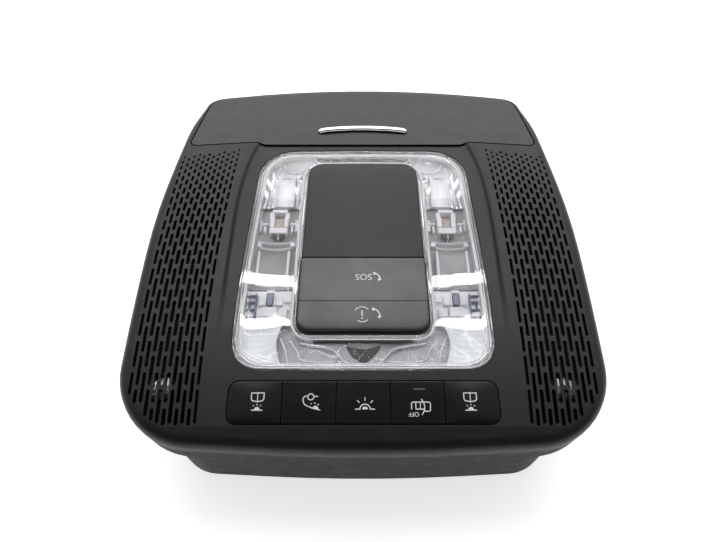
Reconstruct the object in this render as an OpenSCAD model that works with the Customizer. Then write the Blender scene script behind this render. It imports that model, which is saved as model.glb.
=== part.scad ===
// Roof console for a car: crowned bezel with two graded grilles, a glasses compartment with a hinged lid,
// a clear lamp ring with four LED lamps, a raised centre panel with two keys and a row of five keys.
// The unit lies on its back: X to the right, Y towards the windscreen end, Z up out of the visible face.

/* [Overall] */
// Width of the bezel
body_w = 225; // [221:1:235]
// Length of the bezel
body_l = 235; // [232:1:245]
// Height of the crest of the face above the back
face_h = 68; // [66:1:78]
// Radius of the crown along the length
crown_r = 800; // [700:10:1500]

/* [Bezel] */
// Wall of the bezel
skin = 2.5; // [2:0.1:3]
// Radius of the rolled edge
edge_roll = 5; // [4:0.5:6]
// Depth of the side wall below the face
rim_depth = 9; // [8:0.5:12]
// Radius of the two corners at the near end
near_corner_r = 36; // [30:1:40]
// Radius of the two corners at the windscreen end
far_corner_r = 14; // [11:0.5:16]
// Depth of the centre section below the face, at the lid
crease_depth = 1; // [0.6:0.1:1.5]
// Distance of the centre section from the side edge where it is widest
crease_in_x = 43.5; // [41.5:0.5:46.5]

/* [Grilles] */
// Columns of slots on each side
grille_columns = 12; // [8:1:12]
// Rows of slots
grille_rows = 18; // [12:1:18]
// Distance of the first column from the side edge
grille_in_x = 37.6; // [34.5:0.1:38.5]
// Spacing of the columns
column_pitch = 2.77; // [2.6:0.01:2.8]
// Spacing of the rows at the windscreen end
far_pitch = 3.8; // [3.4:0.1:4.2]
// Width of a slot at the windscreen end
far_slot_w = 1.3; // [1:0.1:1.5]
// Width of a slot at the near end
near_slot_w = 1.8; // [1.5:0.1:1.9]
// Bridge between two slots of one column
bridge = 1.9; // [1.5:0.1:2.1]

/* [Lamp ring] */
// Distance of the lens from the side edge at its near end
lens_in_x = 50.7; // [50:0.1:52.5]
// Distance of the lens from the near edge
lens_in_near = 35.9; // [35:0.1:37.5]
// Distance of the lens from the seam of the lid
lens_to_lid = 5; // [4:0.1:7]
// Wall of the lens
lens_wall = 2; // [1.5:0.1:2.5]
// Depth of the side walls of the lens below the crest
lens_depth = 12; // [10:0.5:13]
// Depth of the reflector below the centre section
reflector_depth = 15; // [13:0.5:16]
// Wall of the reflector
reflector_wall = 1.5; // [1.2:0.1:2]
// Distance of the lamps from the side edge of the lens
lamp_in_x = 16.3; // [15:0.1:17.5]
// Distance of the two room lamps from the far edge of the lens
room_lamp_in = 56; // [50:0.5:60]
// Distance of the two reading lamps from the near edge of the lens
reading_lamp_in = 35.6; // [32:0.1:39]
// Radius of the collimator of a lamp
optic_r = 5; // [4:0.1:6]

/* [Centre panel] */
// Width of the lens beside the panel
panel_in_x = 30.3; // [29.5:0.1:32]
// Width of the lens at the near end of the panel
panel_in_near = 18.8; // [17.5:0.1:20.5]
// Width of the lens at the far end of the panel
panel_in_far = 12; // [11:0.1:14]
// Height of the panel above the centre section
panel_rise = 2; // [1:0.1:3]
// Depth of the caps below the centre section
cap_depth = 5; // [4:0.1:6]
// Wall of the caps
cap_wall = 1.4; // [1.2:0.1:1.8]
// Length of the telephone key
telephone_l = 15.1; // [13:0.1:18]
// Length of the emergency key with its gap
emergency_l = 24.9; // [22:0.1:28]

/* [Key row] */
// Distance of the row from the side edge
row_in_x = 52; // [51:0.1:55]
// Distance of the row from the near edge
row_in_near = 11.6; // [11:0.1:13]
// Length of the keys
row_l = 19.2; // [17.5:0.1:20]
// Radius of the corners of the row
row_corner_r = 4.5; // [3:0.1:6]
// Number of keys in the row
key_count = 5; // [3:1:6]
// Depth of a key below the face
key_depth = 7; // [6:0.1:8]
// Travel of every key
key_travel = 1; // [0.6:0.1:1.2]

/* [Lid] */
// Distance of the seam of the lid from the far edge
lid_l = 57.5; // [56:0.1:58.5]
// Step of the seam where it leaves the centre section
lid_jog = 2.6; // [1:0.1:3]
// Distance of the near corners of the lid from the side edge
lid_in_x = 10.5; // [9.5:0.1:13.5]
// Width of the bezel's rim beyond the lid
lid_rim = 1.9; // [1.6:0.1:2.2]
// Gap round the lid
lid_gap = 0.8; // [0.7:0.05:0.9]
// Half width of the chrome strip
strip_half_w = 26.5; // [20:0.5:35]
// Distance of the chrome strip from the seam
strip_back = 9; // [7:0.5:14]
// Distance of the hinge from the far edge of the bezel
hinge_back = 27.5; // [26:0.5:29]
// Depth of the hinge below the face
hinge_drop = 5.8; // [5.6:0.1:7]
// Radius of the hinge pins
pin_r = 1.25; // [1:0.05:1.5]
// Distance of the glasses tray from the side edge
tray_in_x = 30.5; // [28.5:0.5:42.5]
// Distance of the back of the glasses tray behind the hinge
tray_reach = 12; // [8:0.5:12]
// Depth of the glasses tray below the hinge
tray_depth = 25; // [20:0.5:25]
// Wall of the glasses tray
tray_wall = 1.8; // [1.4:0.1:2.2]

/* [Housing] */
// Wall of the housing
housing_wall = 2.2; // [1.8:0.1:2.6]
// Depth of the shelf that carries the wide part below the crest
shelf_depth = 28; // [26:0.5:32]
// Distance of the deep part of the housing from the side edge
deep_in_x = 15.5; // [13.5:0.5:17.5]
// Thickness of the circuit board
board_t = 1.6; // [1.2:0.1:2]
// Spacing of the two roof screws
roof_screw_spacing = 140; // [120:1:150]
// Radius of the holes for the roof screws
roof_screw_r = 2.75; // [2:0.05:3]

/* [Hidden] */
$fn = 32;

// Clearance between fitted pieces
fit = 0.3;
// Clearance of a pin that turns
running = 0.05;
// Largest departure of a chord from its arc
sag = 0.08;
// Longest stretch of an outline along the crown
crown_step = 18;

half_w = body_w / 2;
half_l = body_l / 2;
crest = face_h;
shelf_z = crest - shelf_depth;

// Places across the unit, each from the edge that carries it
crease_x = half_w - crease_in_x;
grille_x = half_w - grille_in_x;
lens_half_w = half_w - lens_in_x;
lamp_x = lens_half_w - lamp_in_x;
panel_half_w = lens_half_w - panel_in_x;
row_half_w = half_w - row_in_x;
lid_half_w = half_w - lid_in_x;
tray_half_w = half_w - tray_in_x;
deep_half_w = half_w - deep_in_x;

// Places along the unit, each from the edge that carries it
lid_seam = half_l - lid_l;
lens_near = lens_in_near - half_l;
lens_far = lid_seam - lens_to_lid;
room_lamp_y = lens_far - room_lamp_in;
reading_lamp_y = lens_near + reading_lamp_in;
panel_near = lens_near + panel_in_near;
panel_far = lens_far - panel_in_far;
split_near = panel_near + telephone_l;
split_far = split_near + emergency_l;
row_near = row_in_near - half_l;
row_far = row_near + row_l;
board_half_w = row_half_w - 0.5;
board_near = row_near - 2.1;
board_far = lid_seam - 8;

// Height of the crowned face
face = function (y) crest - crown_r + sqrt(crown_r * crown_r - y * y);
// Height of the centre section, which dips towards the lid
crease_end = lens_near + 6.6;
dip = function (y) crease_depth * max(0, y - crease_end) / (lid_seam - crease_end);
deck = function (y) face(y) - dip(y);
// Height of a level plane
level = function (z) function (y) z;

// Outlines are right-hand halves from the near end to the far end, as [x, y, corner radius]
near_bow_r = 1000;
near_slope = 2.9;
far_bow_r = 455;
far_slope = 10;
waist_r = 500;
shoulder_r = 100;
waist_y = half_l - 112.5;
shoulder_y = half_l - 39.5;
shoulder_in = 6.8;
tail_in = 14.6;

function bow(r, slope) = r * (1 / cos(slope) - 1);
near_y = -half_l - bow(near_bow_r, near_slope);
far_y = half_l + bow(far_bow_r, far_slope);
function near_line(x) = near_y + x * tan(near_slope);
function far_line(x) = far_y - x * tan(far_slope);

body_outline = [
  [0, near_y, near_bow_r],
  [half_w, near_line(half_w), near_corner_r],
  [half_w, waist_y, waist_r],
  [half_w - shoulder_in, shoulder_y, shoulder_r],
  [half_w - tail_in, far_line(half_w - tail_in), far_corner_r],
  [0, far_y, far_bow_r]];

function xy(v) = [v[0], v[1]];
function unit(v) = v / norm(v);
function left(v) = [-v[1], v[0]];
function turn(a, b) = atan2(a[0] * b[1] - a[1] * b[0], a * b);
function spun(v, t) = [v[0] * cos(t) - v[1] * sin(t), v[0] * sin(t) + v[1] * cos(t)];
function mirrored(v) = [-v[0], v[1], v[2]];

// Points of the rounded corner q between p and s, moved inwards by inset; an odd number of chords keeps
// the two corners on the centre line free of a point there
function corner(p, q, s, inset) =
  let (a = unit(xy(q) - xy(p)), b = unit(xy(s) - xy(q)), t = turn(a, b), side = sign(t),
       v = xy(q) + inset * (left(a) + left(b)) / (1 + left(a) * left(b)),
       r = max(q[2] - side * inset, 0.2),
       hub = v - a * r * tan(abs(t) / 2) + left(a) * side * r,
       steps = q[2] > 0 ? 2 * floor(abs(t) / (4 * acos(1 - sag / q[2])) + 0.5) + 1 : 0)
  steps < 1 || abs(t) < 0.01 ? [v] : [for (k = [0 : steps]) hub + spun(-left(a) * side * r, t * k / steps)];

// Right-hand half of an outline moved inwards by inset, with points added along its long sides
function half_path(v, inset) =
  let (m = len(v) - 1, all = concat([mirrored(v[1])], v, [mirrored(v[m - 1])]))
  [for (i = [0 : m])
    let (here = corner(all[i], all[i + 1], all[i + 2], inset),
         from = here[len(here) - 1],
         to = i < m ? corner(all[i + 1], all[i + 2], all[i + 3], inset)[0] : from,
         extra = i < m ? floor(abs(v[i + 1][1] - v[i][1]) / crown_step) : 0)
    each concat([for (p = here) if (p[0] > 0.001) p],
      [for (k = [1 : 1 : extra]) from + (to - from) * k / (extra + 1)])];

function loop(v, inset = 0) =
  let (h = half_path(v, inset)) concat(h, [for (i = [len(h) - 1 : -1 : 0]) [-h[i][0], h[i][1]]]);

// Ring of an outline laid on a height function and lowered by drop
function ring(v, inset, height, drop) = [for (p = loop(v, inset)) [p[0], p[1], height(p[1]) - drop]];

// Quarter round of radius r as [inset, drop] steps, from the top outwards and down
function rolled(r, steps, inset = 0, drop = 0) =
  [for (k = [0 : steps]) [inset + r * (1 - sin(90 * k / steps)), drop + r * (1 - cos(90 * k / steps))]];
function reversed(v) = [for (i = [len(v) - 1 : -1 : 0]) v[i]];

// Solid over a stack of rings; its first and last rings are closed by level strips across the width
module skinned(rings) {
  n = len(rings[0]);
  last = (len(rings) - 1) * n;
  sides = [for (j = [0 : n : last - 1]) for (i = [0 : n - 1]) let (k = (i + 1) % n)
    each [[j + i, j + k, j + n + k], [j + i, j + n + k, j + n + i]]];
  first_cap = [for (i = [0 : n / 2 - 2]) [i, n - 1 - i, n - 2 - i, i + 1]];
  last_cap = [for (i = [0 : n / 2 - 2]) [last + i, last + i + 1, last + n - 2 - i, last + n - 1 - i]];
  polyhedron([for (r = rings) each r], concat(first_cap, sides, last_cap));
}

module prism(v, inset, z0, z1) {
  translate([0, 0, z0]) linear_extrude(z1 - z0) polygon(loop(v, inset));
}

// Crowned and rolled wall that the bezel and the lid are both cut from
module face_skin() {
  inner_roll = max(edge_roll - skin, 0.5);
  profile = concat(
    rolled(edge_roll, 4), [[0, rim_depth], [skin, rim_depth]],
    reversed(rolled(inner_roll, 3, skin, skin)));
  skinned([for (s = profile) ring(body_outline, s[0], face, s[1])]);
}

// Slot shape between two heights on a column, with its corners cut
module slot(column, y0, y1, w) {
  c = w * slot_corner;
  x0 = column_x(column, y0);
  x1 = column_x(column, y1);
  polygon([
    [x0 - w / 2 + c, y0], [x0 + w / 2 - c, y0], [x0 + w / 2, y0 + c], [x1 + w / 2, y1 - c],
    [x1 + w / 2 - c, y1], [x1 - w / 2 + c, y1], [x1 - w / 2, y1 - c], [x0 - w / 2, y0 + c]]);
}

grille_margin = 4;
grille_bend = 0.00027;
grille_widest_y = lens_near + 36.6;
grille_far = lid_seam - 3;
grille_far_slope = 0.23;
grille_near = row_near - 0.6;
grading = 1.5;
slot_corner = 1 / 3;
near_hub = [half_w - near_corner_r, near_line(half_w) + near_corner_r];
function column_x(c, y) = grille_x + c * column_pitch - grille_bend * pow(y - grille_widest_y, 2);
// Share of the grading that a row has; the last pitch lets the rows fill the length of the grille
function grade(k) = pow(max(k, 0) / (grille_rows - 1), grading);
function sum(v, i = 0) = i < len(v) ? v[i] + sum(v, i + 1) : 0;
added_pitch = (grille_far - grille_near - grille_rows * far_pitch)
  / sum([for (k = [0 : grille_rows - 1]) grade(k)]);
function row_pitch(k) = far_pitch + added_pitch * grade(k);
function row_y(k) = k == 0
  ? grille_far - far_pitch / 2
  : row_y(k - 1) - (row_pitch(k - 1) + row_pitch(k)) / 2;
function column_far(c) = grille_far - c * column_pitch * grille_far_slope;
function column_near(c) =
  let (x = max(0, column_x(c, grille_near) - near_hub[0]), r = near_corner_r - grille_margin)
  max(grille_near, near_hub[1] - sqrt(max(r * r - x * x, 1)));
function column_w(c, k) =
  (far_slot_w + (near_slot_w - far_slot_w) * min(1, k / (grille_rows / 2)))
  * (0.75 + 0.25 * sin(180 * (c + 0.5) / grille_columns));

module grille_slots() {
  shortest = 1.6;
  for (c = [0 : grille_columns - 1], k = [0 : grille_rows - 1]) {
    shift = c % 2 == 0 ? 0 : row_pitch(k) / 2;
    half = (row_pitch(k) - bridge) / 2;
    top = min(row_y(k) - shift + half, column_far(c));
    bottom = max(row_y(k) - shift - half, column_near(c));
    if (top - bottom > shortest) slot(c, bottom, top, column_w(c, k));
  }
}

// Outlines of the openings and of what sits in them
dip_start_y = lens_near + 21.6;
dip_stations = 10;
crease_in = 6.8;
crease_from_y = lens_near + 47.6;
function crease(y) = crease_x - crease_in * pow(max(0, y - crease_from_y) / (lid_seam - crease_from_y), 3);

jog_run = 5;
jog_x = crease_x - crease_in - jog_run + 0.5;
lid_side_drop = 0.7;
lid_inset = lid_rim + lid_gap;
lid_tail_in = 2.7;
lid_tail_x = half_w - tail_in - lid_tail_in;
lid_outline = [
  [0, lid_seam, 0],
  [jog_x, lid_seam, 1.5],
  [jog_x + jog_run, lid_seam + lid_jog, 1.5],
  [lid_half_w, lid_seam - lid_side_drop, 3],
  [lid_tail_x, far_line(lid_tail_x) - lid_inset / cos(far_slope), far_corner_r - lid_inset],
  [0, far_y - lid_inset / cos(far_slope), far_bow_r - lid_inset]];

lens_taper = 4.2;
lens_waist_y = reading_lamp_y + 6;
lens_far_bow = 0.8;
lens_inner_wall = 1.5;
lens_outline = [
  [0, lens_near, 0],
  [lens_half_w, lens_near, 15],
  [lens_half_w - 0.2, lens_waist_y, 400],
  [lens_half_w - lens_taper, lens_far, 20],
  [0, lens_far + lens_far_bow, 1500]];

panel_taper = 1.2;
panel_far_bow = 0.4;
panel_outline = [
  [0, panel_near, 0],
  [panel_half_w, panel_near, 6],
  [panel_half_w - panel_taper, panel_far, 8.5],
  [0, panel_far + panel_far_bow, 1500]];

row_bow = 0.4;
row_outline = [
  [0, row_near - row_bow, 0],
  [row_half_w, row_near, row_corner_r],
  [row_half_w, row_far, row_corner_r],
  [0, row_far, 0]];

strip_w = 5;
strip_arch = 2.4;
strip_y = lid_seam + strip_back;

// Housing outlines: the wide part stands under the rim of the bezel, the deep part carries on to the back
wide_in = 0.4;
wide_wall = lid_rim - wide_in;
deep_in = lid_rim;
deep_taper = 4;
deep_outline = [
  [0, near_y, near_bow_r],
  [deep_half_w + deep_in, near_line(deep_half_w + deep_in), 24],
  [deep_half_w + deep_in - deep_taper, far_line(deep_half_w + deep_in - deep_taper), 14],
  [0, far_y, far_bow_r]];
function deep_side(y) = deep_half_w - deep_taper * (y - near_y) / (far_y - near_y);
function wide_side(y) = half_w - shoulder_in * max(0, y - waist_y) / (shoulder_y - waist_y);

// Heights inside the unit
board_z = shelf_z + 4;
board_top = board_z + board_t;
reflector_floor = crest - reflector_depth;
back_wall = housing_wall + 0.3;
frame_depth = 11;
frame_bottom = crest - frame_depth;
frame_overlap = 0.6;
bezel_frame_wall = 1.6;

// Hinge of the lid
hinge_y = half_l - hinge_back;
hinge_z = face(hinge_y) - hinge_drop;
ear_r = pin_r + 1.65;
ear_gap = 0.5;
ear_w = 4;
boss_w = 4;
arm_x = tray_half_w - tray_wall;
boss_end = tray_half_w + boss_w;
ear_x = boss_end + ear_gap;
pin_inner = 1.5;

// Latch of the lid
latch_half_w = 9;
latch_reach = lid_seam + 6;
latch_top = hinge_z - 5.1;
striker_half_w = 5;
striker_near = lid_seam + 1.2;
striker_t = 2;
striker_far = striker_near + striker_t + 1.2;

// The tray stays inside a drum round the hinge, so it swings clear of the cross wall
cross_wall = 1.8;
cross_y = lid_seam - lid_gap - cross_wall;
tray_r = hinge_y - lid_seam - lid_jog + lid_gap - fit;
tray_front = lid_seam + lid_jog + 1;
tray_back = hinge_y + tray_reach;
tray_skin = 1.5;
lip_depth = 14;
tray_top_drop = skin + 0.1;
notch_half_w = 12;
notch_back = hinge_y - latch_reach - 5;

// Places of the screws that hold bezel and housing together
screw_to_lens = 5.7;
screw_to_seam = 10;
screw_to_row = 7.9;
housing_screw_x = lens_half_w + screw_to_lens;
housing_screw_ys = [row_near + screw_to_row, lid_seam - screw_to_seam];
housing_screw_r = 1.15;
housing_screw_l = 14;
screw_clear_r = 1.7;
screw_well_r = 3.3;
well_floor = 5;
post_r = 3.2;
tower_r = 4;
screw_split_z = shelf_z + 6;
board_screw_x = board_half_w - 5;
board_screw_ys = [lens_near + 11.6, lid_seam - 16];
board_screw_r = 1.05;
board_screw_l = 10;
board_tower_r = 3.4;

module both() {
  children();
  mirror([1, 0, 0]) children();
}

// Solid under a crowned outline down to a level plane
module block(v, inset, height, drop, bottom) {
  skinned([ring(v, inset, height, drop), ring(v, inset, level(bottom), 0)]);
}

// Plate of even thickness under a crowned outline
module plate(v, inset, height, drop, t) {
  skinned([ring(v, inset, height, drop), ring(v, inset, height, drop + t)]);
}

// Profile in the Y-Z plane round the hinge, drawn across the unit from x0 to x1
module across(x0, x1) {
  translate([x0, hinge_y, hinge_z]) rotate([90, 0, 90]) linear_extrude(x1 - x0) children();
}

// Outline of a strip of even thickness along a bent line
function strip_normal(p, i) =
  let (a = i > 0 ? unit(p[i] - p[i - 1]) : unit(p[1] - p[0]),
       b = i < len(p) - 1 ? unit(p[i + 1] - p[i]) : a)
  (left(a) + left(b)) / (1 + a * b);
function bent_strip(p, t) = concat(
  [for (i = [0 : len(p) - 1]) p[i] + strip_normal(p, i) * t / 2],
  [for (i = [len(p) - 1 : -1 : 0]) p[i] - strip_normal(p, i) * t / 2]);

// Groove with sloping sides that lowers the centre section
module centre_dip() {
  slope = 2;
  above = 2;
  ys = [for (k = [0 : dip_stations]) dip_start_y + (lid_seam + 2 - dip_start_y) * k / dip_stations];
  points = [for (y = ys) let (low = crease(y) - slope * dip(y), high = crease(y) + slope * above)
    each [[-high, y, face(y) + above], [-low, y, deck(y)], [low, y, deck(y)], [high, y, face(y) + above]]];
  last = 4 * dip_stations;
  sides = [for (j = [0 : 4 : last - 1]) for (i = [0 : 3]) let (k = (i + 1) % 4)
    each [[j + i, j + k, j + 4 + k], [j + i, j + 4 + k, j + 4 + i]]];
  polyhedron(points, concat([[3, 2, 1, 0]], sides, [[last, last + 1, last + 2, last + 3]]));
}

// Wall under the bezel round the lid opening
module lid_frame() {
  intersection() {
    block(body_outline, lid_rim - frame_overlap, face, 1, frame_bottom);
    difference() {
      prism(lid_outline, -lid_gap - bezel_frame_wall, frame_bottom, crest);
      prism(lid_outline, -lid_gap, frame_bottom - 1, crest + 1);
    }
  }
}

module housing_posts() {
  both() for (y = housing_screw_ys)
    translate([housing_screw_x, y, screw_split_z + fit])
      cylinder(r = post_r, h = face(y) - dip(y) - skin / 2 - screw_split_z - fit);
}

module bezel() {
  low = shelf_z;
  high = crest + skin;
  shaft_top = screw_split_z + housing_screw_l - well_floor + 1;
  color([0.13, 0.13, 0.13])
  difference() {
    union() {
      face_skin();
      lid_frame();
      housing_posts();
    }
    centre_dip();
    prism(lid_outline, -lid_gap, low, high);
    prism(lens_outline, -fit, low, high);
    prism(row_outline, -fit, low, high);
    both() for (y = housing_screw_ys)
      translate([housing_screw_x, y, low]) cylinder(r = housing_screw_r + 0.05, h = shaft_top - low);
    translate([0, 0, low]) linear_extrude(high - low) grille_slots();
    translate([0, 0, low]) linear_extrude(high - low) mirror([1, 0]) grille_slots();
  }
}

// Ear that carries a hinge pin
module hinge_ear() {
  ear_low = shelf_z - 6;
  difference() {
    union() {
      translate([ear_x, hinge_y - ear_r, ear_low]) cube([ear_w, 2 * ear_r, hinge_z - ear_low]);
      translate([ear_x, hinge_y - ear_r, ear_low])
        cube([deep_side(hinge_y) - 1 - ear_x, 2 * ear_r, shelf_z - ear_low + 1]);
      across(ear_x, ear_x + ear_w) circle(ear_r);
    }
    across(ear_x - 1, ear_x + ear_w + 1) circle(pin_r);
  }
}

// Shallow pockets that leave a lattice of ribs on the back, clear of the connector
pocket_depth = 0.9;
pocket_rib = 2.4;
pocket_columns = 5;
pocket_rows = 6;
pocket_half_w = housing_screw_x - 9;
pocket_near = lens_near - 8;
pocket_far = hinge_y + 8;
module back_pockets() {
  w = 2 * pocket_half_w / pocket_columns;
  l = (pocket_far - pocket_near) / pocket_rows;
  for (i = [0 : pocket_columns - 1], j = [0 : pocket_rows - 1]) {
    x = -pocket_half_w + (i + 0.5) * w;
    y = pocket_near + (j + 0.5) * l;
    near_socket = abs(x - socket_x) < (socket_w + w) / 2 + 2 && abs(y - socket_y) < (socket_l + l) / 2 + 2;
    if (!near_socket)
      translate([x - (w - pocket_rib) / 2, y - (l - pocket_rib) / 2, -1])
        cube([w - pocket_rib, l - pocket_rib, pocket_depth + 1]);
  }
}

vent_count = 7;
vent_pitch = 4.4;
vent_w = 2;
vent_l = 22;
module vents() {
  for (i = [0 : vent_count - 1])
    translate([housing_screw_x - vent_w / 2, panel_near + (i + 1) * 2.4 * vent_pitch, -1])
      cube([vent_l, vent_w, back_wall + 3]);
}

module rear_housing() {
  chamfer = 2;
  wide_top = rim_depth + fit;
  boss_r = 8;
  boss_h = 5;
  color([0.2, 0.2, 0.21]) {
    difference() {
      union() {
        difference() {
          union() {
            block(body_outline, wide_in, face, wide_top, shelf_z);
            skinned([
              ring(deep_outline, deep_in, level(shelf_z + 1), 0),
              ring(deep_outline, deep_in, level(chamfer), 0),
              ring(deep_outline, deep_in + chamfer, level(0), 0)]);
          }
          prism(body_outline, lid_rim, shelf_z + housing_wall, crest);
          prism(deep_outline, deep_in + housing_wall, back_wall, crest);
        }
        // Cross wall between the lamp bay and the glasses bay
        translate([-deep_side(cross_y) + 1, cross_y, 1])
          cube([2 * deep_side(cross_y) - 2, cross_wall, frame_bottom - fit - 1]);
        translate([-wide_side(cross_y) + 3, cross_y, shelf_z + 1])
          cube([2 * wide_side(cross_y) - 6, cross_wall, 8]);
        both() {
          for (y = housing_screw_ys)
            translate([housing_screw_x, y, 0]) cylinder(r = tower_r, h = screw_split_z);
          for (y = board_screw_ys)
            translate([board_screw_x, y, 1]) cylinder(r = board_tower_r, h = board_z - 1);
          translate([roof_screw_spacing / 2, roof_screw_y, 0]) cylinder(r = boss_r, h = boss_h);
        }
      }
      both() {
        for (y = housing_screw_ys) translate([housing_screw_x, y, -1]) {
          cylinder(r = screw_clear_r, h = screw_split_z + 2);
          cylinder(r = screw_well_r, h = screw_split_z - well_floor + 1);
        }
        for (y = board_screw_ys)
          translate([board_screw_x, y, board_z - board_screw_l - 2])
            cylinder(r = board_screw_r + 0.05, h = board_screw_l + 3);
        translate([roof_screw_spacing / 2, roof_screw_y, -1]) cylinder(r = roof_screw_r, h = boss_h + 2);
      }
      translate([socket_x - socket_w / 2 - fit, socket_y - socket_l / 2 - fit, -1])
        cube([socket_w + 2 * fit, socket_l + 2 * fit, 6]);
      back_pockets();
      both() vents();
    }
    both() hinge_ear();
  }
}

roof_screw_y = hinge_y - 20;
socket_x = -30;
socket_y = reading_lamp_y + 6;
socket_w = 34;
socket_l = 15;
socket_back = 0.8;
socket_h = board_z - socket_back;
socket_wall = 1.5;
cavity_depth = 14;
pin_count = 10;
pin_pitch = 2.54;
pin_row = 2;
pin_w = 0.64;
pin_length = 5;
pin_root = 3;

module connector_socket() {
  flange = 3;
  flange_t = 2;
  key_w = 6;
  color([0.85, 0.85, 0.8])
  translate([socket_x - socket_w / 2, socket_y - socket_l / 2, socket_back])
    difference() {
      union() {
        cube([socket_w, socket_l, socket_h]);
        translate([-flange, -flange, back_wall - socket_back + fit])
          cube([socket_w + 2 * flange, socket_l + 2 * flange, flange_t]);
      }
      translate([socket_wall, socket_wall, -1])
        cube([socket_w - 2 * socket_wall, socket_l - 2 * socket_wall, cavity_depth + 1]);
      translate([(socket_w - key_w) / 2, -1, -1]) cube([key_w, socket_wall + 1.5, cavity_depth / 2]);
      pin_field(socket_w / 2, socket_l / 2, cavity_depth - 1, pin_root + 1);
    }
}

// Two rows of square pins round x, y
module pin_field(x, y, z, length) {
  for (i = [0 : pin_count - 1], row = [-1, 1])
    translate([x + (i - (pin_count - 1) / 2) * pin_pitch - pin_w / 2, y + row * pin_row - pin_w / 2, z])
      cube([pin_w, pin_w, length]);
}

module connector_pins() {
  color([0.8, 0.75, 0.5])
  pin_field(socket_x, socket_y, socket_back + cavity_depth - pin_length, pin_length + pin_root);
}

module lens_ring() {
  bottom = crest - lens_depth;
  step = 3;
  color([0.85, 0.9, 0.93, 0.5])
  difference() {
    block(lens_outline, 0, deck, 0, bottom);
    difference() {
      block(lens_outline, lens_wall, deck, lens_wall, bottom - 1);
      prism(panel_outline, -fit - lens_inner_wall, bottom + step, crest);
    }
    prism(panel_outline, -fit, bottom - 2, crest + 1);
  }
}

module reflector() {
  inset = lens_wall + fit;
  hole = -2 * fit - lens_inner_wall;
  color([0.92, 0.92, 0.92])
  difference() {
    block(lens_outline, inset, deck, lens_wall + fit, reflector_floor - reflector_wall);
    difference() {
      prism(lens_outline, inset + reflector_wall, reflector_floor, crest + 1);
      prism(panel_outline, hole - reflector_wall, reflector_floor - 1, crest + 2);
    }
    prism(panel_outline, hole, reflector_floor - 5, crest + 1);
    both() for (y = [reading_lamp_y, room_lamp_y])
      translate([lamp_x, y, reflector_floor - 5]) cylinder(r = optic_r + fit, h = 10);
  }
}

// Clear collimator over one LED, with a square flange on the reflector
module optic() {
  stem = reflector_floor - board_top - 1.2;
  translate([0, 0, -stem])
    rotate_extrude() polygon([[0.01, 1.2], [1.6, 0], [2.2, 0], [optic_r, stem - 0.5], [optic_r, stem + 1.6],
                              [optic_r - 1.5, stem + 3], [0.01, stem + 3.6]]);
  difference() {
    translate([-8, -6, 0]) cube([16, 12, 1.6]);
    for (x = [-6, 6]) translate([x, 4, -1]) cylinder(r = 0.8, h = 4);
  }
}

module lamp(x, y) {
  color([0.9, 0.93, 0.95, 0.6]) translate([x, y, reflector_floor]) optic();
}

module led_chips() {
  color([1, 0.95, 0.7])
  for (x = [-lamp_x, lamp_x], y = [reading_lamp_y, room_lamp_y])
    translate([x - 1.75, y - 1.75, board_top]) cube([3.5, 3.5, 0.8]);
}

board_outline = [
  [0, board_near, 0], [board_half_w, board_near, 4],
  [board_half_w, board_far, 4], [0, board_far, 0]];

module circuit_board() {
  color([0.05, 0.3, 0.15])
  difference() {
    prism(board_outline, 0, board_z, board_top);
    both() for (y = board_screw_ys)
      translate([board_screw_x, y, board_z - 1]) cylinder(r = 1.6, h = 4);
  }
}

module screw(x, y, z, r, length, head_r, head_h) {
  translate([x, y, z]) {
    cylinder(r = r, h = length);
    translate([0, 0, length]) difference() {
      cylinder(r = head_r, h = head_h);
      translate([0, 0, head_h / 2]) cylinder(r = head_r / 2, h = head_h, $fn = 6);
    }
  }
}

module board_screws() {
  color([0.7, 0.7, 0.72])
  both() for (y = board_screw_ys)
    screw(board_screw_x, y, board_top - board_screw_l, board_screw_r, board_screw_l, 2.6, 1.8);
}

module housing_screws() {
  color([0.6, 0.6, 0.62])
  both() for (y = housing_screw_ys)
    translate([0, 0, screw_split_z - well_floor]) mirror([0, 0, 1])
      screw(housing_screw_x, y, -housing_screw_l, housing_screw_r, housing_screw_l, 3, 2);
}

// Centre panel: one crowned cap, split into a blank plate and two keys
module panel_solid(inset, top, depth) {
  roll = 1.2;
  bottom = [ring(panel_outline, inset, deck, depth)];
  skinned(inset == 0
    ? concat([for (s = rolled(roll, 3)) ring(panel_outline, s[0], deck, s[1] - top)], bottom)
    : concat([ring(panel_outline, inset, deck, -top)], bottom));
}

// Everything between two places along the length
module panel_slab(y0, y1, z0 = 0) {
  translate([-half_w, y0, z0]) cube([body_w, y1 - y0, crest + 10 - z0]);
}

module panel_cap(y0, y1) {
  color([0.28, 0.28, 0.28])
  difference() {
    intersection() {
      panel_solid(0, panel_rise, cap_depth);
      panel_slab(y0, y1);
    }
    intersection() {
      panel_solid(cap_wall, panel_rise - cap_roof, cap_depth + 5);
      panel_slab(y0 + cap_wall, y1 - cap_wall);
    }
  }
}

plate_gap = 0.8;
key_gap = 0.4;
plunger_r = 2;
switch_h = 4.4;
switch_w = 6;
press_gap = 0.2;
cap_roof = cap_wall + 0.4;
emergency_y = (split_near + split_far - plate_gap) / 2;
telephone_y = (panel_near + split_near - key_gap) / 2;

module centre_plate() {
  panel_cap(split_far, panel_far + panel_far_bow + fit);
}

// Stem under a cap, which stops just above its switch
module plunger(y) {
  bottom = board_top + switch_h + key_travel + press_gap;
  translate([0, y, bottom]) cylinder(r = plunger_r, h = deck(y) + panel_rise - cap_roof + 0.5 - bottom);
}

module emergency_key() {
  color([0.36, 0.36, 0.36]) {
    panel_cap(split_near, split_far - plate_gap);
    plunger(emergency_y);
  }
}

module telephone_key() {
  color([0.36, 0.36, 0.36]) {
    panel_cap(panel_near - fit, split_near - key_gap);
    plunger(telephone_y);
  }
}

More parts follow.
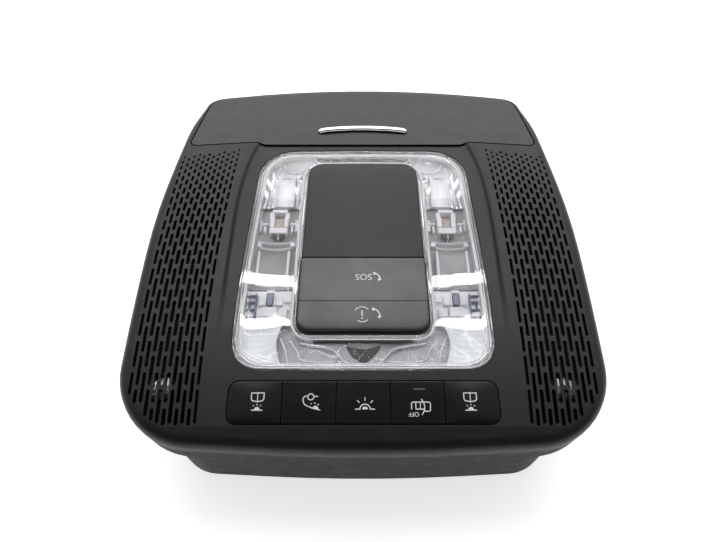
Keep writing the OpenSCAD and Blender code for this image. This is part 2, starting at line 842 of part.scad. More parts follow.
module key_switches() {
  color([0.1, 0.1, 0.1])
  for (y = [emergency_y, telephone_y])
    translate([0, y, board_top]) {
      translate([-switch_w / 2, -switch_w / 2, 0]) cube([switch_w, switch_w, switch_h - 1]);
      cylinder(r = plunger_r - 0.25, h = switch_h);
    }
}

module centre_frame() {
  inset = cap_wall + fit;
  wall = 1.6;
  floor_z = board_top + 7;
  slack = cap_wall + fit;
  cap_low = crest - cap_depth - 3;
  color([0.1, 0.1, 0.1])
  difference() {
    block(panel_outline, inset, deck, wall, board_top);
    difference() {
      prism(panel_outline, inset + wall, floor_z + wall, crest + 1);
      panel_slab(split_far + slack, split_far + slack + wall, floor_z);
    }
    prism(panel_outline, inset + wall, board_top - 1, floor_z);
    for (y = [emergency_y, telephone_y])
      translate([0, y, board_top]) cylinder(r = plunger_r + fit, h = floor_z);
    // Room for the end walls of the caps
    panel_slab(split_near - key_gap - slack, split_near + slack, cap_low);
    panel_slab(split_far - plate_gap - slack, split_far - plate_gap / 2, cap_low);
    panel_slab(split_far - fit, split_far + slack, cap_low);
  }
}

// Row of keys
row_pitch_x = 2 * row_half_w / key_count;
row_y_mid = (row_near + row_far) / 2;
key_roof = 2.2;
key_skirt_in = 1.3;
key_skirt_wall = 1.2;
key_seam = 0.35;
key_stem_r = 2;
dome_h = 4.2;
function key_x(i) = -row_half_w + (i + 0.5) * row_pitch_x;

module key_cell(i, gap, z0, z1) {
  margin = 10;
  translate([key_x(i) - (row_pitch_x - gap) / 2, row_near - margin, z0])
    cube([row_pitch_x - gap, row_far - row_near + 2 * margin, z1 - z0]);
}

module row_key(i) {
  low = face(row_near) - key_depth;
  skirt_gap = key_seam + 2 * key_skirt_in;
  stem_bottom = board_top + dome_h + key_travel + press_gap;
  color([0.1, 0.1, 0.1]) {
    intersection() {
      skinned([
        ring(row_outline, 0.5, deck, 0), ring(row_outline, 0.15, deck, 0.15),
        ring(row_outline, 0, deck, 0.5), ring(row_outline, 0, deck, key_roof)]);
      key_cell(i, key_seam, low, crest);
    }
    difference() {
      intersection() {
        block(row_outline, key_skirt_in, deck, key_roof / 2, low);
        key_cell(i, skirt_gap, low, crest);
      }
      intersection() {
        block(row_outline, key_skirt_in + key_skirt_wall, deck, key_roof, low - 1);
        key_cell(i, skirt_gap + 2 * key_skirt_wall, low - 1, crest);
      }
    }
    translate([key_x(i), row_y_mid, stem_bottom])
      cylinder(r = key_stem_r, h = deck(row_y_mid) - key_roof / 2 - stem_bottom);
  }
}

module key_carrier() {
  wall = 1.5;
  low = face(row_near) - key_depth - key_travel - 2;
  color([0.12, 0.12, 0.12])
  difference() {
    block(row_outline, -fit - wall, deck, skin + fit, low);
    for (i = [0 : key_count - 1])
      intersection() {
        prism(row_outline, key_skirt_in - fit, low + wall, crest);
        key_cell(i, key_seam + 2 * key_skirt_in - 2 * fit, low + wall, crest);
      }
    // Room for the roofs of the keys as they travel
    block(row_outline, -fit, deck, -1, face(row_near) - key_roof - key_travel - 2 * fit);
    for (i = [0 : key_count - 1])
      translate([key_x(i), row_y_mid, low - 1]) cylinder(r = key_stem_r + fit, h = wall + 2);
  }
}

module switch_mat() {
  mat_t = 1.2;
  foot_r = 4.5;
  tip_r = 2.6;
  color([0.75, 0.75, 0.72]) {
    translate([1 - row_half_w, row_near, board_top]) cube([2 * row_half_w - 2, row_far - row_near, mat_t]);
    for (i = [0 : key_count - 1])
      translate([key_x(i), row_y_mid, board_top])
        rotate_extrude()
          polygon([[0.01, mat_t / 2], [foot_r, mat_t / 2], [foot_r, mat_t], [tip_r, dome_h], [0.01, dome_h]]);
  }
}

mic_x = half_w - 20.5;
mic_y = row_near + 17.9;
mic_r = 4.8;
boot_wall = 1.6;
boot_floor = 1.4;
boot_h = 8;
boot_top = face(mic_y - mic_r - boot_wall) - skin - 0.1;
mic_h = boot_h - boot_floor - 0.9;

module microphone(x) {
  color([0.75, 0.76, 0.78])
  translate([x, mic_y, boot_top - boot_h + boot_floor + running]) difference() {
    cylinder(r = mic_r, h = mic_h);
    translate([0, 0, mic_h - 1])
      for (a = [0 : 60 : 300]) rotate(a) translate([mic_r / 2, 0, 0]) cylinder(r = 0.5, h = 2);
  }
}

module microphone_boots() {
  color([0.08, 0.08, 0.08])
  both() translate([mic_x, mic_y, boot_top - boot_h]) difference() {
    cylinder(r = mic_r + boot_wall, h = boot_h);
    translate([0, 0, boot_floor]) cylinder(r = mic_r + running, h = boot_h);
    translate([0, 0, -1]) cylinder(r = mic_r / 2, h = boot_floor + 2);
  }
}

clip_ys = [panel_near + 0.8, panel_far - 7];
clip_w = 14;
clip_t = 0.8;
// Bent line of a clip, outwards and up from the back
clip_line = [[0, shelf_z - 4], [0, 8], [1.2, 7], [6.5, 17], [6.8, 19.5], [3.4, 28], [4.4, 30.5]];

module spring_clips() {
  color([0.7, 0.72, 0.75])
  both() for (y = clip_ys)
    translate([deep_side(y) + clip_t / 2 + 0.15, y + clip_w / 2, 0])
      rotate([90, 0, 0])
        linear_extrude(clip_w) polygon(bent_strip(clip_line, clip_t));
}

module hinge_pins() {
  color([0.75, 0.76, 0.78])
  both() across(arm_x - pin_inner, ear_x + ear_w) circle(pin_r - 0.005);
}

module latch_body() {
  low = shelf_z - 2;
  near = cross_y + cross_wall;
  mouth = striker_half_w + 0.8;
  color([0.15, 0.15, 0.15])
  difference() {
    translate([-latch_half_w, near, low]) cube([2 * latch_half_w, latch_reach - near, latch_top - low]);
    translate([-mouth, near + 1, latch_top - 6]) cube([2 * mouth, latch_reach - near - 2, 8]);
  }
}

module latch_striker() {
  top = face(striker_near) - skin - 0.2;
  low = latch_top - 3;
  color([0.85, 0.85, 0.82])
  translate([-striker_half_w, striker_near, low]) {
    cube([2 * striker_half_w, striker_t, top - low]);
    cube([2 * striker_half_w, striker_far - striker_near, 1.6]);
  }
}

module compartment_lid() {
  color([0.37, 0.38, 0.37])
  difference() {
    intersection() {
      face_skin();
      prism(lid_outline, 0, shelf_z, crest + 5);
    }
    translate([0, 0, face(strip_y) - strip_seat]) linear_extrude(skin + 3)
      polygon(concat(
        [for (x = strip_xs) [x * 1.004, strip_mid(x) - strip_half(x) - 0.1]],
        [for (x = reversed(strip_xs)) [x * 1.004, strip_mid(x) + strip_half(x) + 0.1]]));
  }
}

// Arched strip with rounded ends, as places across the unit with its middle and half its width there
strip_seat = 1.2;
strip_rise = 1.3;
strip_end = 2.4;
strip_xs = let (flat = strip_half_w - strip_end, tip = [for (k = [0 : 3]) flat + strip_end * cos(22.5 * k)])
  concat(-tip, [for (k = [-5 : 5]) k * flat / 5.5], reversed(tip));
function strip_out(x) = max(0, abs(x) - strip_half_w + strip_end) / strip_end;
function strip_mid(x) = strip_y + strip_w / 2 + strip_arch * (1 - pow(x / strip_half_w, 2));
function strip_half(x) = strip_w / 2 * (0.35 + 0.65 * sqrt(max(0, 1 - pow(strip_out(x), 2))));

module chrome_strip() {
  profile = [[1, 0.3], [0.86, 0.78], [0.6, 1]];
  steps = concat([for (q = profile) [-q[0], q[1]]], [for (q = reversed(profile)) q]);
  points = [for (x = strip_xs)
    let (half = strip_half(x), y = strip_mid(x), top = strip_rise - 0.5 * strip_out(x))
    each concat(
      [[x, y - half, face(strip_y) - strip_seat]],
      [for (q = steps) [x, y + half * q[0], face(y) + top * q[1]]],
      [[x, y + half, face(strip_y) - strip_seat]])];
  last = 8 * (len(strip_xs) - 1);
  sides = [for (j = [0 : 8 : last - 1]) for (i = [0 : 7]) let (k = (i + 1) % 8)
    each [[j + i, j + 8 + k, j + k], [j + i, j + 8 + i, j + 8 + k]]];
  color([0.9, 0.9, 0.9])
  polyhedron(points, concat([[for (i = [0 : 7]) i]], sides, [[for (i = [7 : -1 : 0]) last + i]]));
}

tray_outline = [
  [0, tray_front, 0], [tray_half_w, tray_front, 2],
  [tray_half_w, tray_back, 2], [0, tray_back, 0]];

module tray_side_profile() {
  drop_at = function (y) face(y) - tray_top_drop - tray_skin / 2 - hinge_z;
  intersection() {
    circle(tray_r);
    polygon([[tray_front - hinge_y, drop_at(tray_front)], [tray_front - hinge_y, -tray_depth],
             [tray_back - hinge_y, -tray_depth], [tray_back - hinge_y, drop_at(tray_back)]]);
  }
}

module near_lip_profile() {
  top = face(tray_front) - tray_top_drop - tray_skin / 2 - hinge_z;
  intersection() {
    difference() {
      circle(tray_r);
      circle(tray_r - tray_wall);
    }
    translate([-tray_r, -lip_depth]) square([tray_r, lip_depth + top]);
  }
}

module glasses_tray() {
  back = tray_back - hinge_y;
  back_top = face(tray_back) - tray_top_drop - tray_skin / 2 - hinge_z;
  notch_top = face(hinge_y - notch_back) - tray_top_drop - tray_skin / 2 - hinge_z;
  color([0.22, 0.22, 0.22])
  difference() {
    union() {
      difference() {
        union() {
          plate(tray_outline, 0, face, tray_top_drop, tray_skin);
          across(-tray_half_w, tray_half_w) near_lip_profile();
        }
        across(-notch_half_w, notch_half_w)
          translate([-tray_r - 1, -lip_depth - 1]) square([tray_r + 1 - notch_back, lip_depth + notch_top]);
        // Way through for the striker
        across(-striker_half_w - fit, striker_half_w + fit)
          translate([-tray_r - 1, 0]) square([striker_far + fit - hinge_y + tray_r + 1, tray_r]);
      }
      across(-tray_half_w, tray_half_w)
        translate([back - tray_wall, -tray_depth]) square([tray_wall, tray_depth + back_top]);
      both() across(arm_x, tray_half_w) tray_side_profile();
      both() across(arm_x, boss_end) circle(ear_r);
      // Walls of the notch that clears the latch
      across(-notch_half_w - tray_wall, notch_half_w + tray_wall)
        translate([-notch_back, -lip_depth]) square([tray_wall, lip_depth + notch_top]);
      both() across(notch_half_w, notch_half_w + tray_wall)
        intersection() {
          circle(tray_r - 0.2);
          translate([-tray_r, -lip_depth]) square([tray_r - notch_back + 0.5, lip_depth + notch_top]);
        }
    }
    both() across(arm_x - 1, boss_end + 1) circle(pin_r + running);
  }
}

module tray_liner() {
  liner_t = 1;
  near = hinge_y - notch_back + tray_wall + fit;
  far = tray_back - tray_wall - fit;
  side = arm_x - pin_inner - fit;
  liner_outline = [[0, near, 0], [side, near, 2], [side, far, 2], [0, far, 0]];
  color([0.3, 0.3, 0.3])
  plate(liner_outline, 0, face, tray_top_drop + tray_skin + 0.05, liner_t);
}

bezel();
rear_housing();
lens_ring();
reflector();
lamp(-lamp_x, reading_lamp_y);  // reading_optic_left
lamp(lamp_x, reading_lamp_y);  // reading_optic_right
lamp(-lamp_x, room_lamp_y);  // room_optic_left
lamp(lamp_x, room_lamp_y);  // room_optic_right
led_chips();
circuit_board();
switch_mat();
key_switches();
connector_socket();
connector_pins();
centre_plate();
centre_frame();
key_carrier();
microphone(-mic_x);  // microphone_left
microphone(mic_x);  // microphone_right
microphone_boots();
spring_clips();
housing_screws();
board_screws();
hinge_pins();
latch_body();
compartment_lid();
chrome_strip();
glasses_tray();
tray_liner();
latch_striker();
row_key(0);  // reading_key_left
row_key(1);  // rear_seat_key
row_key(2);  // room_light_key
row_key(3);  // door_light_key
row_key(4);  // reading_key_right
emergency_key();
telephone_key();
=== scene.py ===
# Looks of a roof console lamp: materials, the clear lamp ring and what shows under it, key symbols,
# floor, light and camera.
import math

import bmesh
import bpy
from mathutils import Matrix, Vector

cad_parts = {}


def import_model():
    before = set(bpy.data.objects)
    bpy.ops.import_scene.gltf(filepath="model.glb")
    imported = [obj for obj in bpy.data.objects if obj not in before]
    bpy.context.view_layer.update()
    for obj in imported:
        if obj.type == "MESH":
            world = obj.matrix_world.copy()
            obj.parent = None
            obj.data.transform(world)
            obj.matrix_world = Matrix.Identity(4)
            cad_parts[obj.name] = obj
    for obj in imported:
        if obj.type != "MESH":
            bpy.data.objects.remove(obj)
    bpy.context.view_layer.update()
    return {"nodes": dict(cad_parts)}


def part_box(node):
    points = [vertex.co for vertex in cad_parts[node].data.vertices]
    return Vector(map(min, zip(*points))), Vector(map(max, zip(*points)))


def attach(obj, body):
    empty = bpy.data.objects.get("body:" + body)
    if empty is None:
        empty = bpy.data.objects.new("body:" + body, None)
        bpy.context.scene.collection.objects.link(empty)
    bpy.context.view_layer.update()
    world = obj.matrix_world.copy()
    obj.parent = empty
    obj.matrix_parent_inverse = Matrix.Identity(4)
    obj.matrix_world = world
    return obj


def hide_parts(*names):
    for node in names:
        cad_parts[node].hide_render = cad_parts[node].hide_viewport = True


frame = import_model()
nodes = frame["nodes"]
MM = 0.001

# Shape of the face, as the solids have it, in millimetres
CREST = 68.0
CROWN_R = 800.0
CREASE_DEPTH = 1.0
CREASE_END = -75.0
LID_SEAM = 60.0
PANEL_RISE = 2.0
CREASE_X = 69.0
CREASE_IN = 6.8
CREASE_FROM_Y = -10.0

# Painted shade on the bezel: its specular tint is lowered along the crease and under the rolled edge
CREASE_SHADE_IN = 0.6
CREASE_SHADE_FULL = 0.1
CREASE_SHADE_NONE = 1.7
CREASE_FADE_Y = -20.0
EDGE_Z = 51.5
EDGE_BLEND = 5.0
PAINTED_SHADE_TINT = 0.16

# Painted shade on the chrome strip: darkened up to its near lip, from full to none at these distances from
# its middle line
LIP_FULL = -0.5
LIP_NONE = 0.3
LIP_PAINTED_SHADE = 0.10
LIP_BRIGHT = 0.92

SIDES = (("left", -1), ("right", 1))
WHITE = "reflector_white"


def face(y):
    """Height of the crowned face."""
    return CREST - CROWN_R + math.sqrt(CROWN_R * CROWN_R - y * y)


def deck(y):
    """Height of the centre section, which dips towards the lid."""
    return face(y) - CREASE_DEPTH * max(0.0, y - CREASE_END) / (LID_SEAM - CREASE_END)


# Materials

def new_material(name):
    material = bpy.data.materials.new(name)
    material.use_nodes = True
    tree = material.node_tree
    shader = tree.nodes["Principled BSDF"]
    return material, tree, shader


def grain_bump(tree, shader, scale, depth):
    """Fine moulded grain from noise in the object's own coordinates, which it gives back."""
    coords = tree.nodes.new("ShaderNodeTexCoord")
    noise = tree.nodes.new("ShaderNodeTexNoise")
    noise.inputs["Scale"].default_value = scale
    noise.inputs["Detail"].default_value = 2.0
    bump = tree.nodes.new("ShaderNodeBump")
    bump.inputs["Strength"].default_value = 1.0
    bump.inputs["Distance"].default_value = depth * MM
    tree.links.new(coords.outputs["Object"], noise.inputs["Vector"])
    tree.links.new(noise.outputs["Fac"], bump.inputs["Height"])
    tree.links.new(bump.outputs["Normal"], shader.inputs["Normal"])
    return coords


def ramp(tree, value, low, high, start=0.0, end=1.0):
    """Colour that runs from low at start to high at end. A single number stands for a grey."""
    node = tree.nodes.new("ShaderNodeValToRGB")
    for element, place, colour in zip(node.color_ramp.elements, (start, end), (low, high)):
        if not isinstance(colour, tuple):
            colour = (colour,) * 3
        element.position = place
        element.color = (*colour, 1.0)
    tree.links.new(value, node.inputs["Fac"])
    return node.outputs["Color"]


def varied(tree, shader, coords, socket, low, high, scale):
    """Slow variation of a value or colour over the piece."""
    noise = tree.nodes.new("ShaderNodeTexNoise")
    noise.inputs["Scale"].default_value = scale
    noise.inputs["Detail"].default_value = 3.0
    tree.links.new(coords.outputs["Object"], noise.inputs["Vector"])
    spread = ramp(tree, noise.outputs["Fac"], low, high, 0.35, 0.65)
    tree.links.new(spread, shader.inputs[socket])


def plastic(name, colour, roughness, grain=0.03, grain_scale=2500.0, specular=0.5, spread=0.12):
    material, tree, shader = new_material(name)
    coords = grain_bump(tree, shader, grain_scale, grain)
    low = tuple(c * (1 - spread) for c in colour)
    high = tuple(c * (1 + spread) for c in colour)
    varied(tree, shader, coords, "Base Color", low, high, 60.0)
    varied(tree, shader, coords, "Roughness", roughness * 0.94, roughness * 1.06, 140.0)
    shader.inputs["Specular IOR Level"].default_value = specular
    return material


def metal(name, colour, roughness, grain=0.01, grain_scale=900.0):
    material, tree, shader = new_material(name)
    coords = grain_bump(tree, shader, grain_scale, grain)
    shader.inputs["Metallic"].default_value = 1.0
    low = tuple(c * 0.93 for c in colour)
    varied(tree, shader, coords, "Base Color", low, colour, 80.0)
    varied(tree, shader, coords, "Roughness", roughness * 0.85, roughness * 1.15, 300.0)
    return material


def clear(name, colour, roughness, ripple=0.0, ripple_scale=60.0):
    material, tree, shader = new_material(name)
    coords = grain_bump(tree, shader, ripple_scale, ripple)
    shader.inputs["Base Color"].default_value = (*colour, 1.0)
    shader.inputs["Transmission Weight"].default_value = 1.0
    shader.inputs["IOR"].default_value = 1.47
    varied(tree, shader, coords, "Roughness", roughness * 0.8, roughness * 1.2, 200.0)
    return material


def math_node(tree, operation, a, b=None):
    """A Math node on two sockets or numbers."""
    node = tree.nodes.new("ShaderNodeMath")
    node.operation = operation
    for k, value in enumerate((a, b)):
        if value is None:
            continue
        if isinstance(value, (int, float)):
            node.inputs[k].default_value = value
        else:
            tree.links.new(value, node.inputs[k])
    return node.outputs["Value"]


def stretch(tree, value, low, high):
    """Smooth step from 0 at low to 1 at high."""
    node = tree.nodes.new("ShaderNodeMapRange")
    node.interpolation_type = "SMOOTHSTEP"
    node.inputs["From Min"].default_value = low
    node.inputs["From Max"].default_value = high
    tree.links.new(value, node.inputs["Value"])
    return node.outputs["Result"]


def split_place(tree, kind="Object"):
    """X, Y and Z of the coordinates of this kind."""
    coords = tree.nodes.new("ShaderNodeTexCoord")
    split = tree.nodes.new("ShaderNodeSeparateXYZ")
    tree.links.new(coords.outputs[kind], split.inputs["Vector"])
    return [split.outputs[axis] for axis in "XYZ"]


def painted_crease_shade(material):
    """Painted shade: lowers the specular tint of the bezel in the soft crease beside the grilles and under
    the rolled edge.
    """
    tree = material.node_tree
    x, y, z = split_place(tree)
    along = math_node(tree, "SUBTRACT", y, CREASE_FROM_Y * MM)
    along = math_node(tree, "DIVIDE", along, (LID_SEAM - CREASE_FROM_Y) * MM)
    along = math_node(tree, "POWER", math_node(tree, "MAXIMUM", along, 0.0), 3.0)
    line = math_node(tree, "MULTIPLY", along, CREASE_IN * MM)
    away = math_node(tree, "ADD", math_node(tree, "ABSOLUTE", x), line)
    away = math_node(tree, "ABSOLUTE", math_node(tree, "SUBTRACT", away, (CREASE_X - CREASE_SHADE_IN) * MM))
    off_line = stretch(tree, away, CREASE_SHADE_FULL * MM, CREASE_SHADE_NONE * MM)
    off_end = stretch(tree, math_node(tree, "MULTIPLY", y, -1.0), -CREASE_FADE_Y * MM, -CREASE_END * MM)
    above_edge = stretch(tree, z, EDGE_Z * MM, (EDGE_Z + EDGE_BLEND) * MM)
    unshaded = math_node(tree, "MINIMUM", math_node(tree, "MAXIMUM", off_line, off_end), above_edge)
    # Painted shade: the specular tint drops in the crease and under the edge of the bezel
    tree.links.new(ramp(tree, unshaded, PAINTED_SHADE_TINT, 1.0), tree.nodes["Principled BSDF"].inputs["Specular Tint"])
    return material


def painted_lip_shade(material, obj):
    """Painted shade: darkens the lip of the chrome strip that faces the occupants, along its arch."""
    places = [v.co for v in obj.data.vertices]
    half_w = max(abs(p.x) for p in places)
    middle = [p.y for p in places if abs(p.x) < 3 * MM]
    tips = [p.y for p in places if abs(p.x) > half_w - MM]
    middle_y = (min(middle) + max(middle)) / 2
    arch = (middle_y - (min(tips) + max(tips)) / 2) / half_w ** 2
    tree = material.node_tree
    x, y, _ = split_place(tree)
    squared = math_node(tree, "POWER", math_node(tree, "ABSOLUTE", x), 2.0)
    away = math_node(tree, "ADD", y, math_node(tree, "MULTIPLY", squared, arch))
    away = math_node(tree, "SUBTRACT", away, middle_y)
    # Painted shade: the metal's base colour runs dark towards the near lip
    colour = ramp(tree, stretch(tree, away, LIP_FULL * MM, LIP_NONE * MM), LIP_PAINTED_SHADE, LIP_BRIGHT)
    tree.links.new(colour, tree.nodes["Principled BSDF"].inputs["Base Color"])


LOOKS = {
    # The bezel carries painted shade in its crease and under its rolled edge
    "bezel": painted_crease_shade(plastic("bezel_black", (0.0078, 0.0086, 0.0076), 0.43, grain=0.05,
                                  grain_scale=2200.0, specular=0.34)),
    "housing": plastic("housing_black", (0.009, 0.009, 0.0095), 0.55, grain=0.02, specular=0.16),
    "lid": plastic("lid_grey", (0.012, 0.0127, 0.0115), 0.43, grain=0.05, grain_scale=2200.0,
                   specular=0.45),
    "panel": plastic("panel_grey", (0.014, 0.015, 0.015), 0.42, grain=0.01, specular=0.33),
    "wide_key": plastic("wide_key_grey", (0.118, 0.119, 0.122), 0.45, grain=0.01, specular=0.4),
    "key": plastic("key_black", (0.0040, 0.0052, 0.0047), 0.30, grain=0.01, specular=0.20),
    "lens": clear("lens_clear", (0.985, 0.985, 1.0), 0.01, ripple=0.01),
    "optic": clear("optic_clear", (0.97, 0.98, 1.0), 0.03, ripple=0.02),
    "reflector": plastic("reflector_white", (0.78, 0.78, 0.80), 0.25, grain=0.005, spread=0.03),
    "bowl": plastic("bowl_white", (0.88, 0.88, 0.89), 0.22, grain=0.005, spread=0.02),
    "cool_bowl": plastic("bowl_cool_white", (0.94, 0.96, 0.98), 0.18, grain=0.005, spread=0.05),
    "guide": plastic("guide_grey", (0.38, 0.38, 0.39), 0.28, grain=0.005, spread=0.25),
    "shadow": plastic("shadow_grey", (0.045, 0.047, 0.049), 0.6, grain=0.005, specular=0.2),
    "holder": plastic("holder_white", (0.80, 0.79, 0.81), 0.35, grain=0.005, spread=0.03),
    "mirror": metal("mirror_grey", (0.50, 0.50, 0.52), 0.16),
    "well": plastic("well_grey", (0.30, 0.285, 0.29), 0.30, grain=0.01, spread=0.15),
    "blue_grey": plastic("blue_grey", (0.14, 0.16, 0.24), 0.25, grain=0.005),
    "beige": plastic("beige", (0.42, 0.34, 0.30), 0.35, grain=0.005),
    "dark": plastic("dark_window", (0.012, 0.012, 0.014), 0.20, grain=0.005),
    "chrome": metal("chrome", (0.90, 0.90, 0.90), 0.10),
    "steel": metal("steel", (0.58, 0.58, 0.60), 0.32),
    "brass": metal("brass", (0.80, 0.66, 0.36), 0.28),
    "board": plastic("board_green", (0.02, 0.10, 0.05), 0.35, grain=0.01),
    "led": plastic("led_yellow", (0.85, 0.72, 0.25), 0.4, grain=0.005),
    "silicone": plastic("silicone", (0.52, 0.52, 0.50), 0.55, grain=0.01),
    "rubber": plastic("rubber_black", (0.014, 0.014, 0.014), 0.7, grain=0.03),
    "felt": plastic("felt", (0.016, 0.016, 0.016), 0.95, grain=0.25, grain_scale=4200.0, specular=0.2),
    "natural": plastic("natural_plastic", (0.66, 0.65, 0.60), 0.45, grain=0.01),
    "print": plastic("print_white", (0.72, 0.72, 0.72), 0.5, grain=0.002, spread=0.02),
    "print_dim": plastic("print_dim", (0.060, 0.062, 0.062), 0.4, grain=0.002, spread=0.02),
}

NODE_LOOKS = {
    "bezel": ("bezel", "bezel_black"), "rear_housing": ("housing", "housing_black"),
    "compartment_lid": ("lid", "lid_grey"),
    "reflector": ("reflector", "reflector_white"), "chrome_strip": ("chrome", "chrome"),
    "centre_plate": ("panel", "panel_grey"), "emergency_key": ("wide_key", "panel_grey"),
    "telephone_key": ("wide_key", "panel_grey"), "led_chips": ("led", "led_yellow"),
    "circuit_board": ("board", "board_green"), "switch_mat": ("silicone", "silicone"),
    "key_switches": ("housing", "housing_black"), "connector_socket": ("natural", "natural_plastic"),
    "connector_pins": ("brass", "brass"), "centre_frame": ("housing", "housing_black"),
    "key_carrier": ("housing", "housing_black"), "microphone_left": ("steel", "steel"),
    "microphone_right": ("steel", "steel"), "microphone_boots": ("rubber", "rubber_black"),
    "spring_clips": ("steel", "steel"), "housing_screws": ("steel", "steel"),
    "board_screws": ("steel", "steel"), "hinge_pins": ("steel", "steel"),
    "latch_body": ("housing", "housing_black"), "glasses_tray": ("housing", "housing_black"),
    "tray_liner": ("felt", "felt"), "latch_striker": ("natural", "natural_plastic"),
}
ROW_KEYS = ["reading_key_left", "rear_seat_key", "room_light_key", "door_light_key", "reading_key_right"]
for key in ROW_KEYS:
    NODE_LOOKS[key] = ("key", "key_black")
for side, _ in SIDES:
    for kind in ("reading", "room"):
        NODE_LOOKS[f"{kind}_optic_{side}"] = ("optic", "clear")


def softened_edges(obj, angle=40.0):
    """Splits a mesh at its sharp edges, so that smooth shading stops there."""
    split = obj.modifiers.new("split", "EDGE_SPLIT")
    split.split_angle = math.radians(angle)


def softened(obj, angle=30.0):
    """Smooth shading over merged points, with the sharp edges kept."""
    weld = obj.modifiers.new("weld", "WELD")
    weld.merge_threshold = 0.00001
    softened_edges(obj, angle)
    for polygon in obj.data.polygons:
        polygon.use_smooth = True


# Painted shade on the near lip of the chrome strip
painted_lip_shade(LOOKS["chrome"], nodes["chrome_strip"])

for name, (look, slot) in NODE_LOOKS.items():
    obj = nodes[name]
    obj.data.materials.clear()
    obj.data.materials.append(LOOKS[look])
    softened(obj)


def added(name, bm, look, body="console", replaced=()):
    """Turns a mesh in millimetres into a piece that rides on a body."""
    bmesh.ops.recalc_face_normals(bm, faces=bm.faces)
    for v in bm.verts:
        v.co *= MM
    mesh = bpy.data.meshes.new(name)
    bm.to_mesh(mesh)
    bm.free()
    mesh.materials.append(LOOKS[look])
    obj = bpy.data.objects.new(name, mesh)
    bpy.context.scene.collection.objects.link(obj)
    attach(obj, body)
    if replaced:
        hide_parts(*replaced)
    return obj


# Outlines of the lens and of the centre panel

CORNER_STEPS = 10
EDGE_STEPS = [16, 8, 16, 14]
WAIST_Y = -40.0


def box_mm(node):
    low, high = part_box(node)
    return Vector(low) / MM, Vector(high) / MM


def half_outline(corners, edge_steps):
    """Right half from the near middle to the far middle, through corners given as x, y, radius."""
    places = [Vector(c[:2]) for c in corners]
    path = []
    start = places[0]
    for i in range(1, len(places) - 1):
        into = (places[i] - places[i - 1]).normalized()
        out = (places[i + 1] - places[i]).normalized()
        half = into.angle(out) / 2
        reach = max(corners[i][2] * math.tan(half), 0.5)
        a, c, w = places[i] - into * reach, places[i] + out * reach, math.cos(half)
        path += [start.lerp(a, s / edge_steps[i - 1]) for s in range(edge_steps[i - 1])]
        for s in range(CORNER_STEPS):
            t = s / CORNER_STEPS
            wa, wb, wc = (1 - t) ** 2, 2 * t * (1 - t) * w, t * t
            path.append((a * wa + places[i] * wb + c * wc) / (wa + wb + wc))
        start = c
    path += [start.lerp(places[-1], s / edge_steps[-1]) for s in range(edge_steps[-1] + 1)]
    return path


def closed_loop(corners, edge_steps):
    half = half_outline(corners, edge_steps)
    return half + [Vector((-p.x, p.y)) for p in reversed(half[1:-1])]


def inset(loop, amount):
    """Moves a closed loop inwards by an amount, or by a function of the place along the unit."""
    moved = []
    for i, p in enumerate(loop):
        along = (loop[(i + 1) % len(loop)] - loop[i - 1]).normalized()
        by = amount(p.y) if callable(amount) else amount
        moved.append(p + Vector((-along.y, along.x)) * by)
    return moved


def smooth_step(t):
    t = min(max(t, 0.0), 1.0)
    return t * t * (3 - 2 * t)


lens_low, lens_high = box_mm("lens_ring")
lens_loop = closed_loop([
    (0, lens_low.y, 0), (lens_high.x, lens_low.y, 15), (lens_high.x - 0.2, WAIST_Y, 400),
    (lens_high.x - 4.2, lens_high.y - 0.8, 20), (0, lens_high.y, 0)], EDGE_STEPS)
panel_near = box_mm("telephone_key")[0].y
panel_half_w = box_mm("telephone_key")[1].x
panel_far = box_mm("centre_plate")[1].y
panel_loop = closed_loop([
    (0, panel_near, 0), (panel_half_w, panel_near, 6), (panel_half_w - 0.3, WAIST_Y, 400),
    (panel_half_w - 1.2, panel_far - 0.4, 8.5), (0, panel_far, 0)], EDGE_STEPS)


def key_gap(y):
    """Dark gap round the two wide keys, widest at the foot of the near one."""
    return 0.75 * smooth_step((-18 - y) / 8) + 0.9 * smooth_step((panel_near + 5 - y) / 5)


hole_loop = inset(panel_loop, lambda y: -key_gap(y))


# The clear lens: a rolled outer rim, a dished channel and a rolled rim round the panel

CHANNEL = 1.7
RIM_WALL = 0.9

# Section of the lens: 0 for the outer and 1 for the inner rim, distance from that rim, depth
LENS_TOP = [
    (0, 0.0, 7.0), (0, 0.0, 0.5), (0, 0.1, 0.08), (0, 0.35, -0.2), (0, 0.7, -0.26), (0, 1.05, -0.12),
    (0, 1.35, 0.2), (0, CHANNEL, 0.4), (0.04, 0, 0.46), (0.15, 0, 0.52), (0.3, 0, 0.56),
    (0.5, 0, 0.58), (0.7, 0, 0.56), (0.85, 0, 0.52), (0.96, 0, 0.46), (1, CHANNEL, 0.4), (1, 1.4, 0.2),
    (1, 1.1, -0.1), (1, 0.8, -0.2), (1, 0.5, -0.08), (1, 0.34, 0.3), (1, 0.3, 6.0)]
LENS_BELOW = [
    (1, 0.3 + RIM_WALL, 6.0), (1, 0.3 + RIM_WALL, 1.6), (1, CHANNEL, 2.3), (0.85, 0, 2.5), (0.7, 0, 2.6),
    (0.5, 0, 2.6), (0.3, 0, 2.6), (0.15, 0, 2.5), (0, CHANNEL, 2.3), (0, RIM_WALL, 1.6), (0, RIM_WALL, 7.0)]


def lens_wave(x, y):
    """Ripples in the lower face of the lens: strong at its ends, weak beside the panel."""
    ends = max(0.0, (panel_near + 4 - y) / 10) + max(0.0, (y - panel_far + 6) / 10)
    ripple = math.sin(0.42 * x + 2.1 * math.sin(0.21 * x + 0.4)) * math.cos(0.35 * y + 0.12 * x)
    return 0.10 * math.sin(0.9 * x) + min(ends, 1.0) * 0.75 * ripple


